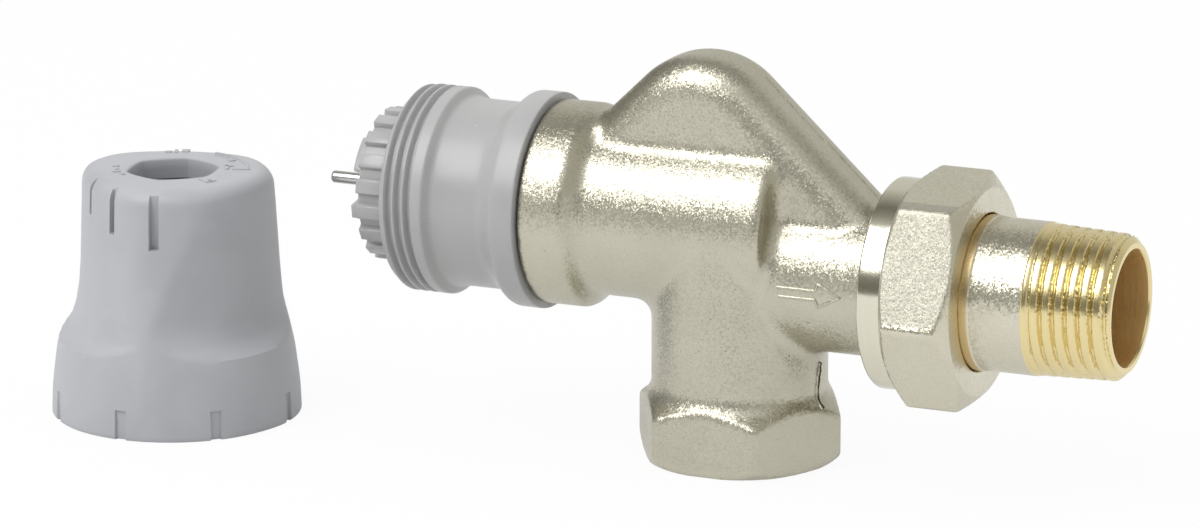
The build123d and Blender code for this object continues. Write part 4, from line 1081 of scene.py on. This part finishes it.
def makeWorld():
    world = bpy.data.worlds.new("softStudio")
    bpy.context.scene.world = world
    world.use_nodes = True
    tree = world.node_tree
    tree.nodes.clear()
    where = addNode(tree, "ShaderNodeTexCoord").outputs["Generated"]
    acrossX, backY, upZ = addNode(tree, "ShaderNodeSeparateXYZ", None, {0: where}).outputs
    angle = addNode(tree, "ShaderNodeMath", {"operation": "ARCTAN2"}, {0: upZ, 1: backY}).outputs[0]
    turns = addNode(tree, "ShaderNodeMath", {"operation": "MULTIPLY"}, {0: angle, 1: 1 / (2 * math.pi)})
    share = addNode(tree, "ShaderNodeMath", {"operation": "FRACT"}, {0: turns.outputs[0]}).outputs[0]
    ramps = []
    for bands in (boxBands, leftBands, rightBands):
        ramp = addNode(tree, "ShaderNodeValToRGB", None, {0: share})
        elements = ramp.color_ramp.elements
        while len(elements) > 1:
            elements.remove(elements[-1])
        elements[0].position, elements[0].color = bands[0][0], hexColour(bands[0][1])
        for position, colour in bands[1:]:
            elements.new(position).color = hexColour(colour)
        ramps.append(ramp.outputs[0])
    smooth = {"interpolation_type": "SMOOTHSTEP"}
    studio = ramps[0]
    for ramp, start, full in ((ramps[1], -0.5, -0.64), (ramps[2], 0.42, 0.75)):
        beyond = addNode(tree, "ShaderNodeMapRange", smooth,
                         {"Value": acrossX, "From Min": start, "From Max": full}).outputs[0]
        studio = addNode(tree, "ShaderNodeMix", {"data_type": "RGBA"},
                         {0: beyond, 6: studio, 7: ramp}).outputs[2]

    # soft fill for dull surfaces, stronger from the left, and more from far right and above
    fill = addNode(tree, "ShaderNodeMapRange", None,
                   {"Value": acrossX, "From Min": -1.0, "From Max": 1.0,
                    "To Min": 0.76, "To Max": 0.08}).outputs[0]
    for side, start, amount in ((acrossX, 0.5, 1.0), (upZ, 0.3, 0.95)):
        more = addNode(tree, "ShaderNodeMapRange", smooth,
                       {"Value": side, "From Min": start, "From Max": 1.0, "To Max": amount}).outputs[0]
        fill = addNode(tree, "ShaderNodeMath", {"operation": "ADD"}, {0: fill, 1: more}).outputs[0]
    # the room behind the camera is darker
    frontward = addNode(tree, "ShaderNodeVectorMath", {"operation": "DOT_PRODUCT"},
                        {0: where, 1: (0.4, -0.91, 0.0)}).outputs[1]
    frontShare = addNode(tree, "ShaderNodeMapRange", smooth,
                         {"Value": frontward, "From Min": 0.3, "From Max": 0.95, "To Min": 1.0,
                          "To Max": 0.35}).outputs[0]
    fill = addNode(tree, "ShaderNodeMath", {"operation": "MULTIPLY"}, {0: fill, 1: frontShare}).outputs[0]
    seen = addNode(tree, "ShaderNodeCombineColor", None, {0: fill, 1: fill, 2: fill}).outputs[0]
    rays = addNode(tree, "ShaderNodeLightPath").outputs
    for ray, shown in (("Is Glossy Ray", studio), ("Is Camera Ray", (1, 1, 1, 1))):
        seen = addNode(tree, "ShaderNodeMix", {"data_type": "RGBA"},
                       {0: rays[ray], 6: seen, 7: shown}).outputs[2]
    background = addNode(tree, "ShaderNodeBackground", None, {"Color": seen, "Strength": 1.0})
    addNode(tree, "ShaderNodeOutputWorld", None, {"Surface": background.outputs[0]})


# The softbox stands from straight above to well in front, as the bright band in the collar shows
softbox = {"width": 0.54, "height": 0.7, "power": 4.6, "aim": (-0.01, 0, 0.03), "left": 0.36, "away": 0.9,
           "turn": 129.0}    # metres and watts, turn in degrees from the back over the top


def makeLight(s):
    light = bpy.data.lights.new("overheadBox", "AREA")
    light.shape = "RECTANGLE"
    light.size, light.size_y = s["width"], s["height"]
    light.energy = s["power"]
    lamp = newObject("overheadBox", light)
    turn = math.radians(s["turn"])
    offset = Vector((-s["left"], s["away"] * math.cos(turn), s["away"] * math.sin(turn)))
    lamp.location = Vector(s["aim"]) + offset
    lamp.rotation_euler = (-offset).to_track_quat("-Z", "Y").to_euler()


# The photograph's camera: azimuth from the front towards the right, distance and aim in metres
photoView = {"azimuth": 23.507, "elevation": 14.855, "distance": 0.9096, "aim": (-0.02172, 0, 0.02577),
             "focalPixels": 6349.4, "frameWidth": 1200, "sensor": 36}


def makeCamera(s):
    azimuth, elevation = math.radians(s["azimuth"]), math.radians(s["elevation"])
    back = Vector((math.sin(azimuth) * math.cos(elevation), -math.cos(azimuth) * math.cos(elevation),
                   math.sin(elevation)))
    right = Vector((math.cos(azimuth), math.sin(azimuth), 0))
    data = bpy.data.cameras.new("photoCamera")
    data.sensor_fit = "HORIZONTAL"
    data.sensor_width = s["sensor"]
    data.lens = s["focalPixels"] / s["frameWidth"] * s["sensor"]
    data.clip_start, data.clip_end = 0.01, 20
    camera = newObject("photoCamera", data)
    turn = Matrix((right, back.cross(right), back)).transposed().to_4x4()
    camera.matrix_world = Matrix.Translation(Vector(s["aim"]) + back * s["distance"]) @ turn
    bpy.context.scene.camera = camera


makeStage()
makeWorld()
makeLight(softbox)
makeCamera(photoView)
bpy.context.scene.view_settings.view_transform = "Standard"
print("stage, light and camera set")
